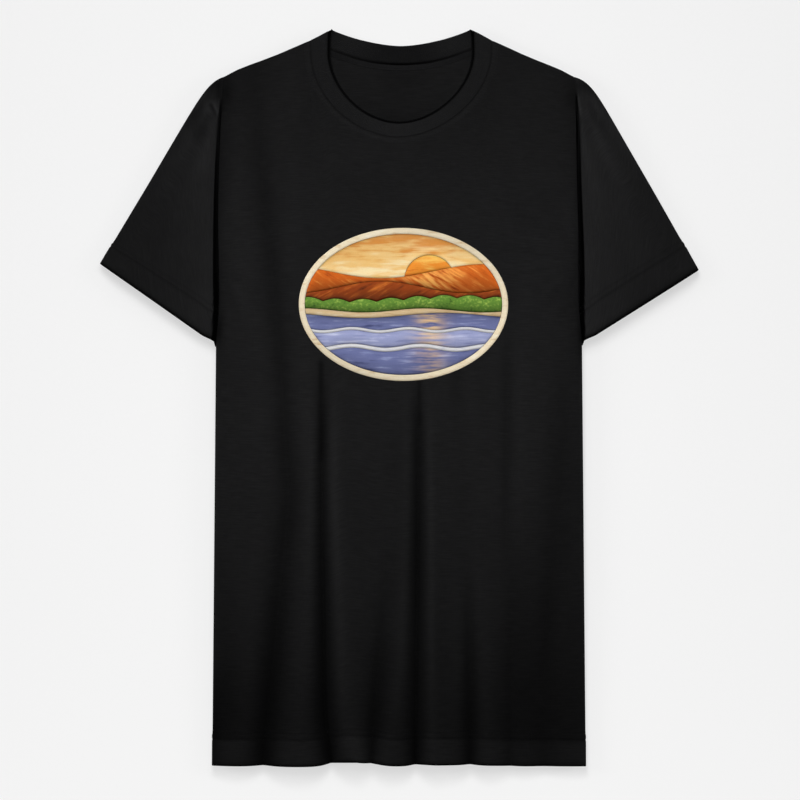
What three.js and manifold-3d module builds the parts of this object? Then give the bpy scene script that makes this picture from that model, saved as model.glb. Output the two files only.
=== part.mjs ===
// A crew-neck T-shirt with short sleeves and a chest print, lying on its back with some air in it.
// Millimetres. +Y runs from the hem to the neck and +Z is up. The origin is the middle of the
// footprint, where the underside of the back panel rests on z = 0.

import * as THREE from 'three';
import { mergeVertices } from 'three/addons/utils/BufferGeometryUtils.js';
import Module from 'manifold-3d';

// ---- Driving dimensions ---------------------------------------------------------------------

const CLOTH = 1.2; // jersey
const HEM_EXTRA = 0.7; // how far a turned hem stands out from the single cloth
const SEAM_GAP = 0.5; // between two sewn edges
const EDGE_GAP = 1.6; // the same where both edges stand upright
const NECK_GAP = 1.3; // between the collar and the panels

const LENGTH = 736; // hem to neck point
const HEM_HALF = 187;
const CHEST_HALF = 184; // from the underarm down to here the side runs straight to the hem
const SHOULDER_HALF = 177.5;
const SHOULDER_FALL = 0.418; // drop of the shoulder line for each millimetre outwards
const COLLAR_FALL = 0.5; // the same across the end of the collar
const UNDERARM_Y = 118;
const HEM_DEPTH = 27;

const HEM_Y = -LENGTH / 2;
const NECK_Y = LENGTH / 2;

const EDGE_HEIGHT = 16; // side and shoulder seams above the floor
const HEM_CROWN = 34; // top of the front panel above the floor, at the hem
const CHEST_CROWN = 42;
const CHEST_CROWN_Y = 150;
const CROWN_SPREAD = 190;
const SIDE_ROLL = 40; // over this width the front panel rounds down to the side
const SHOULDER_ROLL = 40;
const BACK_SIDE_ROLL = 26;
const BACK_SHOULDER_ROLL = 32;

const TUCK_IN = 8; // the front panel curls this far back in under its armhole edge
const TUCK_DOWN = 5.5;
const ARMHOLE_RISE = 5; // its widest line lies this much higher there
const BACK_TUCK_IN = 4;

const NECK_HALF = 69; // neck opening, between the two neck points
const NECK_WIDEST = 72.5;
const NECK_WIDEST_Y = 345;
const NECK_FRONT_Y = 275;
const NECK_BACK_Y = 352;
const RIB_WIDTH = 16;
const RIB_THICKNESS = 1.7;
const RIB_BULGE = 0.6;
const RIB_BACK_LIFT = 0.7;
const RIB_EDGE_LIFT = 1.5; // its free edge stands above its seam
const BACK_RIB_WIDTH = 18;
const BACK_NECK_POWER = 2.6; // how late the back neckline turns up towards the shoulders
const TAPE_WIDTH = 6.5;
const TAPE_HALF = 64;
const TAPE_LIFT = 0.9; // clear of the facets of the cloth below
const TAPE_THICKNESS = 0.6;

const SLEEVE_TIP = new THREE.Vector2(298.5, 133); // outer end of the sleeve hem
const SLEEVE_INNER = new THREE.Vector2(187, 55); // inner end, beside the body
const SLEEVE_HEAD = 8; // the outer edge bows out by this below the shoulder
const SLEEVE_CROWN = 26;
const SLEEVE_HEM_CROWN = 23;
const SLEEVE_EDGE_HEIGHT = 12;
const SLEEVE_OUTER_ROLL = 34;
const SLEEVE_INNER_ROLL = 26;
const SLEEVE_HEM_DEPTH = 24;
const SLEEVE_RISE = 6.5; // within this of the body's side, it comes up from the armhole seam

const PRINT_CENTRE = new THREE.Vector2(4.5, 93);
const PRINT_HALF_WIDTH = 104;
const PRINT_HALF_HEIGHT = 76;
const PRINT_BORDER = 6;
const PRINT_LIFT = 0.6; // clear of the facets of the cloth below
const PRINT_THICKNESS = 0.4;
const FIELD_GAP = 0.5;

// Folds of the front panel: the valley's place at its top and at the hem, where it starts, half its
// width, its depth at the hem, and how high the ridge to its right stands.
const FOLDS = [
  { top: -78, hem: -75, start: 60, width: 11, depth: 9, ridge: 3 },
  { top: 16, hem: 20, start: 40, width: 11, depth: 6.5, ridge: 3 },
  { top: -118, hem: -137, start: 30, width: 17, depth: 5, ridge: 1.5 },
  { top: 73, hem: 68, start: -120, width: 10, depth: 4.5, ridge: 2 },
  { top: -13, hem: -29, start: -120, width: 9, depth: 3.5, ridge: 1.5 },
  { top: 122, hem: 128, start: 10, width: 16, depth: 4, ridge: 1 },
];

const COLOURS = {
  jersey: 0x19191a,
  rib: 0x1b1b1c,
  tape: 0x202021,
  cream: 0xf2e6cd,
  sky: 0xf0cf97,
  sun: 0xe58a35,
  rust: 0xb65a22,
  umber: 0x7c3c17,
  leaf: 0x5f7f3a,
  sand: 0xdcc59c,
  lavender: 0x9aa0c8,
  slate: 0x6c7299,
  foam: 0xf4f1ea,
};

// ---- Small helpers --------------------------------------------------------------------------

const { clamp, lerp, smoothstep } = THREE.MathUtils;
const QUARTER = Math.PI / 2;

// 0 at an edge and 1 from one radius in, as a quarter circle.
const roundOff = (distance, radius) => Math.sqrt(1 - (1 - clamp(distance / radius, 0, 1)) ** 2);

// Whole steps from 0 to 1.
const steps = (count) => Array.from({ length: count + 1 }, (_, i) => i / count);

/**
 * A closed sheet of cloth over a grid of columns and rows. surface(i, j) is a point of the sewn
 * shape. out(i, j) and back(i, j) say how far the two faces lie before and behind it. Columns and
 * rows run so that their cross product points out of the garment. A ring's columns join up.
 */
function clothGeometry({ columns, rows, ring = false, surface, out, back }) {
  const across = ring ? columns : columns + 1;
  const column = (i) => (ring ? (i + columns) % columns : clamp(i, 0, columns));
  const row = (j) => clamp(j, 0, rows);
  const grid = Array.from({ length: across }, (_, i) =>
    Array.from({ length: rows + 1 }, (_, j) => surface(i, j)),
  );
  const at = (i, j) => grid[column(i)][row(j)];
  const positions = [];
  const addFace = (offset) => {
    for (let i = 0; i < across; i++) {
      for (let j = 0; j <= rows; j++) {
        const alongColumns = at(i + 1, j).clone().sub(at(i - 1, j));
        const alongRows = at(i, j + 1).clone().sub(at(i, j - 1));
        const normal = alongColumns.cross(alongRows).normalize();
        positions.push(...at(i, j).clone().addScaledVector(normal, offset(i, j)));
      }
    }
  };
  addFace(out);
  addFace((i, j) => -back(i, j));

  const front = (i, j) => column(i) * (rows + 1) + j;
  const behind = (i, j) => front(i, j) + across * (rows + 1);
  const index = [];
  const quad = (a, b, c, d) => index.push(a, b, c, a, c, d);
  for (let i = 0; i < columns; i++) {
    for (let j = 0; j < rows; j++) {
      quad(front(i, j), front(i + 1, j), front(i + 1, j + 1), front(i, j + 1));
      quad(behind(i, j), behind(i, j + 1), behind(i + 1, j + 1), behind(i + 1, j));
    }
    quad(behind(i, 0), behind(i + 1, 0), front(i + 1, 0), front(i, 0));
    quad(front(i, rows), front(i + 1, rows), behind(i + 1, rows), behind(i, rows));
  }
  for (let j = 0; j < rows && !ring; j++) {
    quad(behind(0, j), front(0, j), front(0, j + 1), behind(0, j + 1));
    quad(front(columns, j), behind(columns, j), behind(columns, j + 1), front(columns, j + 1));
  }

  const geometry = new THREE.BufferGeometry();
  geometry.setAttribute('position', new THREE.Float32BufferAttribute(positions, 3));
  geometry.setIndex(index);
  geometry.computeVertexNormals();
  return geometry;
}

const manifold = await Module();
manifold.setup();

function solidOf(geometry) {
  const positionsOnly = geometry.clone();
  positionsOnly.deleteAttribute('normal');
  positionsOnly.deleteAttribute('uv');
  const merged = mergeVertices(positionsOnly);
  const mesh = new manifold.Mesh({
    numProp: 3,
    vertProperties: merged.attributes.position.array,
    triVerts: new Uint32Array(merged.index.array),
  });
  return new manifold.Manifold(mesh);
}

function geometryOf(solid) {
  const { vertProperties, triVerts } = solid.getMesh();
  const geometry = new THREE.BufferGeometry();
  geometry.setAttribute('position', new THREE.BufferAttribute(vertProperties, 3));
  geometry.setIndex(new THREE.BufferAttribute(triVerts, 1));
  geometry.computeVertexNormals();
  return geometry;
}

function clothMesh(name, colour, roughness, geometry) {
  const material = new THREE.MeshStandardMaterial({ color: colour, roughness, metalness: 0 });
  const mesh = new THREE.Mesh(geometry, material);
  mesh.name = name;
  return mesh;
}

// ---- The shirt's outline --------------------------------------------------------------------

const COLLAR_HALF = NECK_HALF + RIB_WIDTH;

function shoulderLine(x) {
  const past = Math.abs(x) - COLLAR_HALF;
  return NECK_Y - COLLAR_FALL * RIB_WIDTH - past * (past > 0 ? SHOULDER_FALL : COLLAR_FALL);
}

const SHOULDER_TIP_Y = shoulderLine(SHOULDER_HALF);
const SHOULDER_COSINE = 1 / Math.hypot(1, SHOULDER_FALL);

function bodyHalf(y) {
  if (y < UNDERARM_Y) return lerp(HEM_HALF, CHEST_HALF, (y - HEM_Y) / (UNDERARM_Y - HEM_Y));
  const up = Math.min((y - UNDERARM_Y) / (SHOULDER_TIP_Y - UNDERARM_Y), 1);
  return lerp(CHEST_HALF, SHOULDER_HALF, up ** 2.5);
}

// The hem rides up a little where the cloth is gathered into folds.
function hemLine(x) {
  return HEM_Y + 3.5 * Math.exp(-(((x + 48) / 20) ** 2)) + 1.5 * Math.exp(-(((x - 60) / 45) ** 2));
}

// 1 along the armhole, and 0 at the underarm and at the shoulder tip.
function tuck(y) {
  const above = smoothstep(y, UNDERARM_Y + 12, UNDERARM_Y + 46);
  return above * (1 - smoothstep(y, SHOULDER_TIP_Y - 38, SHOULDER_TIP_Y));
}

// 1 below the underarm, where front and back are sewn together, and 0 along the armhole.
const sewnSide = (y) => 1 - smoothstep(y, UNDERARM_Y, UNDERARM_Y + 20);

// ---- Heights --------------------------------------------------------------------------------

function foldHeight(x, y) {
  return FOLDS.reduce((height, { top, hem, start, width, depth, ridge }) => {
    const down = clamp((start - y) / (start - HEM_Y), 0, 1);
    const grown = down ** 0.8 * smoothstep(down, 0, 0.35);
    const off = (x - lerp(top, hem, down)) / width;
    return height - grown * (depth * Math.exp(-(off ** 2)) - ridge * Math.exp(-((off - 2) ** 2)));
  }, 0);
}

function crownHeight(x, y) {
  const rise = (CHEST_CROWN - HEM_CROWN) * Math.exp(-(((y - CHEST_CROWN_Y) / CROWN_SPREAD) ** 2));
  return HEM_CROWN + rise + foldHeight(x, y);
}

const shoulderDistance = (x, y) => (shoulderLine(x) - y) * SHOULDER_COSINE;

const frontEdgeHeight = (y) => EDGE_HEIGHT + EDGE_GAP / 2 + ARMHOLE_RISE * tuck(y);

// sideways is 1 on the flat of the front panel and 0 where its side stands upright.
function frontHeight(x, y, sideways = 1) {
  const edge = frontEdgeHeight(y);
  const up = sideways * roundOff(shoulderDistance(x, y), SHOULDER_ROLL);
  return edge + (crownHeight(x, y) - edge) * up;
}

function backHeight(x, y, upright = 0) {
  const shoulder = roundOff(shoulderDistance(x, y), BACK_SHOULDER_ROLL);
  return (EDGE_HEIGHT - EDGE_GAP / 2) * (1 - (1 - upright * sewnSide(y)) * shoulder);
}

// ---- Necklines, for a share of the way from the middle to the shoulder -------------------------

const ARC_SHARE = 0.85; // the rest runs almost straight up to the shoulder

// widen is 0 at the free edge of the rib and its width at its seam.
function frontNeckline(share, widen) {
  const halfWidth = NECK_WIDEST + (widen * (COLLAR_HALF + 2 - NECK_WIDEST)) / RIB_WIDTH;
  const depth = NECK_WIDEST_Y - NECK_FRONT_Y + widen;
  const angle = QUARTER * Math.min(share / ARC_SHARE, 1);
  const x = halfWidth * Math.sin(angle);
  if (share <= ARC_SHARE) return new THREE.Vector2(x, NECK_WIDEST_Y - depth * Math.cos(angle));
  const up = (share - ARC_SHARE) / (1 - ARC_SHARE);
  const endX = NECK_HALF + widen;
  return new THREE.Vector2(
    lerp(halfWidth, endX, up ** 2),
    lerp(NECK_WIDEST_Y, shoulderLine(endX), up),
  );
}

function backNeckline(share, widen) {
  const x = (NECK_HALF + widen) * share;
  const middle = NECK_BACK_Y - (widen * BACK_RIB_WIDTH) / RIB_WIDTH;
  const power = lerp(2, BACK_NECK_POWER, widen / RIB_WIDTH);
  return new THREE.Vector2(x, lerp(middle, shoulderLine(NECK_HALF + widen), share ** power));
}

// ---- Front and back panels ------------------------------------------------------------------

const SHOULDER_LEAN = 30; // the columns of the shoulder move over to their seam within this
const UNDERARM_ROWS = 8;
const ROLL_ROWS = 6;

// Distances from the top edge at which the rows of the shoulder roll lie.
const ROLL_OFFSETS = steps(ROLL_ROWS).map(
  (share) => (SHOULDER_ROLL / SHOULDER_COSINE) * (1 - Math.sin(share * QUARTER)),
);

// Heights of a panel's rows in one column. They crowd together at the underarm and at the top.
function rowHeights(bottom, top, sideRows) {
  const hemTop = bottom + HEM_DEPTH;
  const rollStart = top - ROLL_OFFSETS[0];
  const side = steps(sideRows).map((share) => lerp(hemTop + 1, UNDERARM_Y, share));
  const armhole = steps(UNDERARM_ROWS).map((share) =>
    lerp(UNDERARM_Y, rollStart, 1 - Math.cos(share * QUARTER)),
  );
  const roll = ROLL_OFFSETS.map((offset) => top - offset);
  return [bottom, hemTop, ...side, ...armhole.slice(1), ...roll.slice(1)];
}

/**
 * One column of a panel, from -count to count: the share of the flat width that it lies at, how far
 * round the side roll it is, and where it meets the neckline or the shoulder seam.
 */
function panelColumn(number, { neckColumns, flatColumns, rollColumns, roll, neckline }) {
  const k = Math.abs(number);
  const share = Math.min(k / flatColumns, 1);
  const turn = clamp((k - flatColumns) / rollColumns, 0, 1);
  const flatTop = SHOULDER_HALF - roll;
  const seamX = COLLAR_HALF + NECK_GAP;
  let top;
  if (k <= neckColumns) {
    top = neckline(k / neckColumns, RIB_WIDTH + NECK_GAP);
  } else {
    const along = clamp((k - neckColumns) / (flatColumns - neckColumns), 0, 1);
    const x = lerp(seamX, flatTop, along) + roll * Math.sin(turn * QUARTER);
    top = new THREE.Vector2(x, shoulderLine(x));
  }
  const lean = top.x - flatTop * share - roll * Math.sin(turn * QUARTER);
  const leansFrom = k < neckColumns ? HEM_Y : top.y - SHOULDER_LEAN;
  return { side: Math.sign(number), share, turn, top, lean, leansFrom };
}

// How far a column has moved over at this height to meet its place on the top edge.
function leanAt({ top, lean, leansFrom }, y) {
  const up = clamp((y - leansFrom) / (top.y - leansFrom), 0, 1);
  return lean * (leansFrom === HEM_Y ? up ** 4 : up);
}

const FRONT = {
  neckColumns: 10,
  flatColumns: 15,
  rollColumns: 7,
  roll: SIDE_ROLL,
  neckline: frontNeckline,
  sideRows: 14,
};

const BACK = {
  neckColumns: 6,
  flatColumns: 9,
  rollColumns: 4,
  roll: BACK_SIDE_ROLL,
  neckline: backNeckline,
  sideRows: 6,
};

function frontPoint(column, y) {
  const { side, share, turn } = column;
  const half = bodyHalf(y);
  const angle = turn * QUARTER * (1 + tuck(y));
  if (angle <= QUARTER) {
    const flat = (half - SIDE_ROLL) * share;
    const x = side * (flat + SIDE_ROLL * Math.sin(angle) + leanAt(column, y));
    return new THREE.Vector3(x, y, frontHeight(x, y, Math.cos(angle)));
  }
  const under = angle - QUARTER;
  const x = side * (half - TUCK_IN * (1 - Math.cos(under)));
  return new THREE.Vector3(x, y, frontEdgeHeight(y) - TUCK_DOWN * Math.sin(under));
}

// The back armhole lies a little further in, and comes out to meet the front at the shoulder tip.
function backHalf(y) {
  const toTip = smoothstep(y, SHOULDER_TIP_Y - 40, SHOULDER_TIP_Y);
  return bodyHalf(y) - BACK_TUCK_IN * (1 - sewnSide(y)) * (1 - toTip);
}

function backPoint(column, y) {
  const { side, share, turn } = column;
  const angle = turn * QUARTER;
  const flat = (backHalf(y) - BACK_SIDE_ROLL) * share;
  const x = side * (flat + BACK_SIDE_ROLL * Math.sin(angle) + leanAt(column, y));
  return new THREE.Vector3(x, y, backHeight(x, y, 1 - Math.cos(angle)));
}

function panelGeometry(shape, point, { hemAt, direction, out, back }) {
  const count = shape.flatColumns + shape.rollColumns;
  const columns = steps(2 * count).map((share) => {
    const number = direction * Math.round(lerp(-count, count, share));
    const column = panelColumn(number, shape);
    const hemX = column.side * (HEM_HALF - shape.roll * (1 - column.turn)) * column.share;
    return { column, heights: rowHeights(hemAt(hemX), column.top.y, shape.sideRows) };
  });
  return clothGeometry({
    columns: 2 * count,
    rows: columns[0].heights.length - 1,
    surface: (i, j) => point(columns[i].column, columns[i].heights[j]),
    out,
    back,
  });
}

const isHemRow = (j) => j < 2;

function frontPanel() {
  const geometry = panelGeometry(FRONT, frontPoint, {
    hemAt: hemLine,
    direction: 1,
    out: (i, j) => (isHemRow(j) ? HEM_EXTRA : 0),
    back: () => CLOTH,
  });
  return clothMesh('front_panel', COLOURS.jersey, 0.95, geometry);
}

function backPanel() {
  const geometry = panelGeometry(BACK, backPoint, {
    hemAt: () => HEM_Y + 1,
    direction: -1,
    out: () => 0,
    back: (i, j) => CLOTH + (isHemRow(j) ? HEM_EXTRA : 0),
  });
  return clothMesh('back_panel', COLOURS.jersey, 0.95, geometry);
}

// ---- Sleeves --------------------------------------------------------------------------------

const ROOT_ROWS = [0, 0.5, 0.6, 0.72, 0.86, 1]; // from the armhole seam out to where it has risen
const ROOT_RISE = [0, 0, 0.08, 0.5, 0.88, 1];
const SLEEVE_ROWS = 4; // from there to the hem band

// Where the sleeve is sewn in, from the shoulder tip down to the underarm, on its front or its back.
function armholePoint(y, onFront) {
  if (!onFront) {
    const x = backHalf(y) + SEAM_GAP;
    return new THREE.Vector3(x, y, backHeight(x, y, 1));
  }
  const under = QUARTER * tuck(y);
  return new THREE.Vector3(
    bodyHalf(y) + SEAM_GAP - TUCK_IN * (1 - Math.cos(under)) - SEAM_GAP * tuck(y),
    y,
    frontEdgeHeight(y) - TUCK_DOWN * Math.sin(under) - SEAM_GAP,
  );
}

// The heights of the seam points are those of the panels' rows, so that both edges have the same
// facets. The front's come first, then the back's, and the loop closes at the shoulder tip.
function sleeveColumns() {
  const heights = rowHeights(HEM_Y, SHOULDER_TIP_Y, 1).filter((y) => y >= UNDERARM_Y).reverse();
  const front = heights.map((y) => ({ y, onFront: true }));
  const back = heights.slice(1, -1).reverse().map((y) => ({ y, onFront: false }));
  return [...front, ...back];
}

function sleevePoint({ y, onFront }, j) {
  const across = (SHOULDER_TIP_Y - y) / (SHOULDER_TIP_Y - UNDERARM_Y);
  const root = armholePoint(y, onFront);
  const hem = SLEEVE_TIP.clone().lerp(SLEEVE_INNER, across);
  const length = Math.hypot(hem.x - root.x, hem.y - root.y);

  // Shares of the way to the hem, for the rows near the armhole and for the hem band.
  const seamX = bodyHalf(y) - root.x;
  const reach = hem.x - root.x;
  const risen = Math.min(seamX + SLEEVE_RISE, 0.3 * reach + seamX) / reach;
  const band = 1 - SLEEVE_HEM_DEPTH / length;
  const shares = [
    ...ROOT_ROWS.map((share) => share * risen),
    ...steps(SLEEVE_ROWS).slice(1).map((share) => lerp(risen, band - 1 / length, share)),
    band,
    1,
  ];
  const along = shares[j];

  // The outer edge bows out soon after the shoulder and runs straight to the tip.
  const bow = SLEEVE_HEAD * (1 - along) * (1 - Math.exp(-along / 0.045)) * (1 - across) ** 3;
  const outward = new THREE.Vector2(SHOULDER_TIP_Y - SLEEVE_TIP.y, SLEEVE_TIP.x - SHOULDER_HALF);
  outward.setLength(bow);
  const x = lerp(root.x, hem.x, along) + outward.x;
  const planY = lerp(root.y, hem.y, along) + outward.y;

  const hemWidth = SLEEVE_TIP.distanceTo(SLEEVE_INNER);
  const width = lerp(SHOULDER_TIP_Y - UNDERARM_Y, hemWidth, along);
  const rounded =
    roundOff(across * width, SLEEVE_OUTER_ROLL) * roundOff((1 - across) * width, SLEEVE_INNER_ROLL);
  const edge = lerp(EDGE_HEIGHT - SEAM_GAP, SLEEVE_EDGE_HEIGHT, smoothstep(along, 0, 0.6));
  const risenShare = j < ROOT_RISE.length ? ROOT_RISE[j] : 1;
  if (onFront) {
    const crown = lerp(SLEEVE_CROWN, SLEEVE_HEM_CROWN, along);
    return new THREE.Vector3(x, planY, lerp(root.z, edge + (crown - edge) * rounded, risenShare));
  }
  return new THREE.Vector3(x, planY, lerp(root.z, edge * (1 - rounded), risenShare));
}

function sleeve(name, side) {
  const seam = sleeveColumns();
  const columns = side > 0 ? seam : seam.toReversed();
  const rows = ROOT_ROWS.length - 1 + SLEEVE_ROWS + 2;
  const isBand = (j) => j >= rows - 1;
  const geometry = clothGeometry({
    columns: columns.length,
    rows,
    ring: true,
    surface: (i, j) => sleevePoint(columns[i], j).multiply(new THREE.Vector3(side, 1, 1)),
    out: (i, j) => (isBand(j) && columns[i].onFront ? HEM_EXTRA : 0),
    back: (i, j) => CLOTH + (isBand(j) && !columns[i].onFront ? HEM_EXTRA : 0),
  });
  return clothMesh(name, COLOURS.jersey, 0.95, geometry);
}

// ---- Collar ---------------------------------------------------------------------------------

const RIB_ROWS = 3;

// Shares from the middle to the shoulder: those of the panel's columns, closer at the shoulder roll.
function necklineShares(neckColumns, extra) {
  return [...steps(neckColumns), ...extra].sort((a, b) => a - b);
}

function neckRib() {
  const frontHalf = necklineShares(FRONT.neckColumns, [0.95, 0.975, 0.99]).slice(0, -1);
  const backHalfShares = necklineShares(BACK.neckColumns, [0.9, 0.95, 0.98]);
  const front = [...frontHalf.slice(1).map((s) => -s).reverse(), ...frontHalf];
  const back = [...backHalfShares.slice(1).map((s) => -s), 0, ...backHalfShares.slice(1)];
  const stations = [
    ...front.map((share) => ({ share, onFront: true })),
    ...back.sort((a, b) => b - a).map((share) => ({ share, onFront: false })),
  ];
  const surface = (i, j) => {
    const { share, onFront } = stations[i];
    const across = j / RIB_ROWS;
    const neckline = onFront ? frontNeckline : backNeckline;
    const { x, y } = neckline(Math.abs(share), RIB_WIDTH * (1 - across));
    const height = onFront
      ? frontHeight(x, y) + RIB_EDGE_LIFT * across * roundOff(shoulderDistance(x, y), SHOULDER_ROLL)
      : Math.max(backHeight(x, y), RIB_BACK_LIFT);
    return new THREE.Vector3(Math.sign(share) * x, y, height);
  };
  const geometry = clothGeometry({
    columns: stations.length,
    rows: RIB_ROWS,
    ring: true,
    surface,
    out: (i, j) => RIB_BULGE * Math.sin((Math.PI * j) / RIB_ROWS),
    back: () => RIB_THICKNESS,
  });
  return clothMesh('neck_rib', COLOURS.rib, 0.92, geometry);
}

function neckTape() {
  const columns = 16;
  const geometry = clothGeometry({
    columns,
    rows: 1,
    surface: (i, j) => {
      const x = lerp(-TAPE_HALF, TAPE_HALF, i / columns);
      const seam = backNeckline(Math.abs(x) / (COLLAR_HALF + NECK_GAP), RIB_WIDTH + NECK_GAP).y;
      const y = seam - 1 - TAPE_WIDTH * (1 - j);
      return new THREE.Vector3(x, y, backHeight(x, y));
    },
    out: () => CLOTH + TAPE_LIFT + TAPE_THICKNESS,
    back: () => -CLOTH - TAPE_LIFT,
  });
  return clothMesh('neck_tape', COLOURS.tape, 0.9, geometry);
}

// ---- Chest print: a sunset over hills and a lake, in an oval ------------------------------------

const PICTURE_HALF_WIDTH = PRINT_HALF_WIDTH - PRINT_BORDER;
const PICTURE_HALF_HEIGHT = PRINT_HALF_HEIGHT - PRINT_BORDER;
const COLUMN_STEP = 8;
const SHORTEST_FIELD = 2;
const SUN = { x: 26, y: 24, radius: 25, sides: 40 };
const CUTTER_HEIGHT = 60;

// Lines of the picture from the bottom up, as heights above its middle for each place across it.
const ovalHalf = (x) => PICTURE_HALF_HEIGHT * Math.sqrt(Math.max(1 - (x / PICTURE_HALF_WIDTH) ** 2, 0));
const nearWave = (x) => -45 + 2 * Math.sin(x / 11);
const farWave = (x) => -27 + 1.6 * Math.sin(x / 9 + 1);
const shoreLine = (x) => -11 + 2.5 * Math.sin(x / 26);
const meadow = (x) => -6 + 2 * Math.sin(x / 19 + 0.5);
const treeTops = (x) => 4 + 3.4 * Math.abs(Math.sin(x / 8.5)) + 2 * Math.sin(x / 30);
const nearHills = (x) => 17 + 6 * Math.sin(x / 27 + 2.4);
const farHills = (x) => 33 + 7 * Math.sin(x / 33 - 0.9);

const FIELDS = [
  { name: 'print_water_near', colour: 'slate', lower: () => -PICTURE_HALF_HEIGHT, upper: nearWave },
  { name: 'print_wave_near', colour: 'foam', lower: nearWave, upper: (x) => nearWave(x) + 4 },
  { name: 'print_water_middle', colour: 'lavender', lower: (x) => nearWave(x) + 4, upper: farWave },
  { name: 'print_wave_far', colour: 'foam', lower: farWave, upper: (x) => farWave(x) + 3 },
  { name: 'print_water_far', colour: 'slate', lower: (x) => farWave(x) + 3, upper: shoreLine },
  { name: 'print_shore', colour: 'sand', lower: shoreLine, upper: meadow },
  { name: 'print_trees', colour: 'leaf', lower: meadow, upper: treeTops },
  { name: 'print_near_hills', colour: 'umber', lower: treeTops, upper: nearHills },
  { name: 'print_far_hills', colour: 'rust', lower: nearHills, upper: farHills },
];
const SKY = { lower: farHills, upper: () => PICTURE_HALF_HEIGHT };

// Print lies over the cloth at a place given from the middle of the picture.
function printSurface(x, y) {
  const onShirt = new THREE.Vector2(x, y).add(PRINT_CENTRE);
  return new THREE.Vector3(onShirt.x, onShirt.y, frontHeight(onShirt.x, onShirt.y));
}

const printFaces = { out: () => PRINT_LIFT + PRINT_THICKNESS, back: () => -PRINT_LIFT };

// The part of the oval between two lines. Neighbouring fields share their columns' places.
function fieldGeometry({ lower, upper }) {
  const bottom = (x) => Math.max(lower(x), -ovalHalf(x)) + FIELD_GAP / 2;
  const top = (x) => Math.min(upper(x), ovalHalf(x)) - FIELD_GAP / 2;
  const isWide = (x) => top(x) - bottom(x) > SHORTEST_FIELD;
  const wide = steps(400)
    .map((share) => lerp(-PICTURE_HALF_WIDTH, PICTURE_HALF_WIDTH, share))
    .filter(isWide);
  const [first, last] = [wide[0], wide.at(-1)];
  const half = Math.floor(PICTURE_HALF_WIDTH / COLUMN_STEP);
  const shared = steps(2 * half).map((share) => lerp(-half, half, share) * COLUMN_STEP);
  const inside = shared.filter((x) => x > first + 1 && x < last - 1);
  const places = [first, ...inside, last];
  return clothGeometry({
    columns: places.length - 1,
    rows: 1,
    surface: (i, j) => printSurface(places[i], lerp(bottom(places[i]), top(places[i]), j)),
    ...printFaces,
  });
}

function printField({ name, colour, lower, upper }) {
  return clothMesh(name, COLOURS[colour], 0.6, fieldGeometry({ lower, upper }));
}

// The sun stands behind the far hills, so it and the sky are cut out of one field.
function sunAndSky() {
  const { x, y } = new THREE.Vector2(SUN.x, SUN.y).add(PRINT_CENTRE);
  const disc = (radius) =>
    new THREE.CylinderGeometry(radius, radius, CUTTER_HEIGHT, SUN.sides)
      .rotateX(QUARTER)
      .translate(x, y, CHEST_CROWN);
  const field = solidOf(fieldGeometry(SKY));
  const sun = field.intersect(solidOf(disc(SUN.radius)));
  const sky = field.subtract(solidOf(disc(SUN.radius + FIELD_GAP)));
  return [
    clothMesh('print_sun', COLOURS.sun, 0.6, geometryOf(sun)),
    clothMesh('print_sky', COLOURS.sky, 0.6, geometryOf(sky)),
  ];
}

function printBorder() {
  const columns = 44;
  const geometry = clothGeometry({
    columns,
    rows: 1,
    ring: true,
    surface: (i, j) => {
      const angle = (2 * Math.PI * i) / columns;
      const inset = (1 - j) * (PRINT_BORDER - FIELD_GAP);
      const halfWidth = PRINT_HALF_WIDTH - inset;
      const halfHeight = PRINT_HALF_HEIGHT - inset;
      return printSurface(-halfWidth * Math.cos(angle), halfHeight * Math.sin(angle));
    },
    ...printFaces,
  });
  return clothMesh('print_border', COLOURS.cream, 0.6, geometry);
}

// ---- The shirt ------------------------------------------------------------------------------

const chestPrint = new THREE.Group();
chestPrint.add(printBorder(), ...FIELDS.map(printField), ...sunAndSky());

const shirt = new THREE.Group();
shirt.add(frontPanel(), backPanel());
shirt.add(sleeve('sleeve_left', 1), sleeve('sleeve_right', -1));
shirt.add(neckRib(), neckTape(), chestPrint);

export default shirt;
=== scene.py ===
"""A crew-neck T-shirt with short sleeves and a chest print, lying on its back with air in it.

Shapes are worked out in millimetres and built in metres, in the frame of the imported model: +Y from
the hem to the neck, +Z up out of the front, +X towards the wearer's left sleeve.
"""

import logging
import math
from dataclasses import dataclass, replace
from enum import Enum
from typing import Callable, Iterable, Optional, Sequence, Union

import bpy
import numpy as np
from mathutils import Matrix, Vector, noise


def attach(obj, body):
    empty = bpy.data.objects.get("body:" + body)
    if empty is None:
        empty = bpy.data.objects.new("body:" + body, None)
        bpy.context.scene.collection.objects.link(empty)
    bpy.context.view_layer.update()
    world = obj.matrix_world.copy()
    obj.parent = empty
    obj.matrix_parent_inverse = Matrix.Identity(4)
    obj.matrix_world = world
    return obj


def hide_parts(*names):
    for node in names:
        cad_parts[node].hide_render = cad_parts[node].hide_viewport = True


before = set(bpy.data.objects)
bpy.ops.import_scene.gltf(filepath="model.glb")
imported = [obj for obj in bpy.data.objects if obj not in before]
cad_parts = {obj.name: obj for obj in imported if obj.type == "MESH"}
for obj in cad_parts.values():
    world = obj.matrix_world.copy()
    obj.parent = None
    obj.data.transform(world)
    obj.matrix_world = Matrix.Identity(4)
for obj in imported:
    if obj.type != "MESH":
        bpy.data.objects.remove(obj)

LOG = logging.getLogger("shirt")
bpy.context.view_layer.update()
BODY = "root"
MM = 0.001
QUARTER = math.pi / 2
CLOTH_MAP = "cloth"
# Point attribute that draws cloth lighter or darker as painted light and shade, and gives ink films
# the print's own tone.
PAINTED_LIGHT_AND_TONE = "fade"
PRINT_MIDDLE = (4.5, 93)

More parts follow.
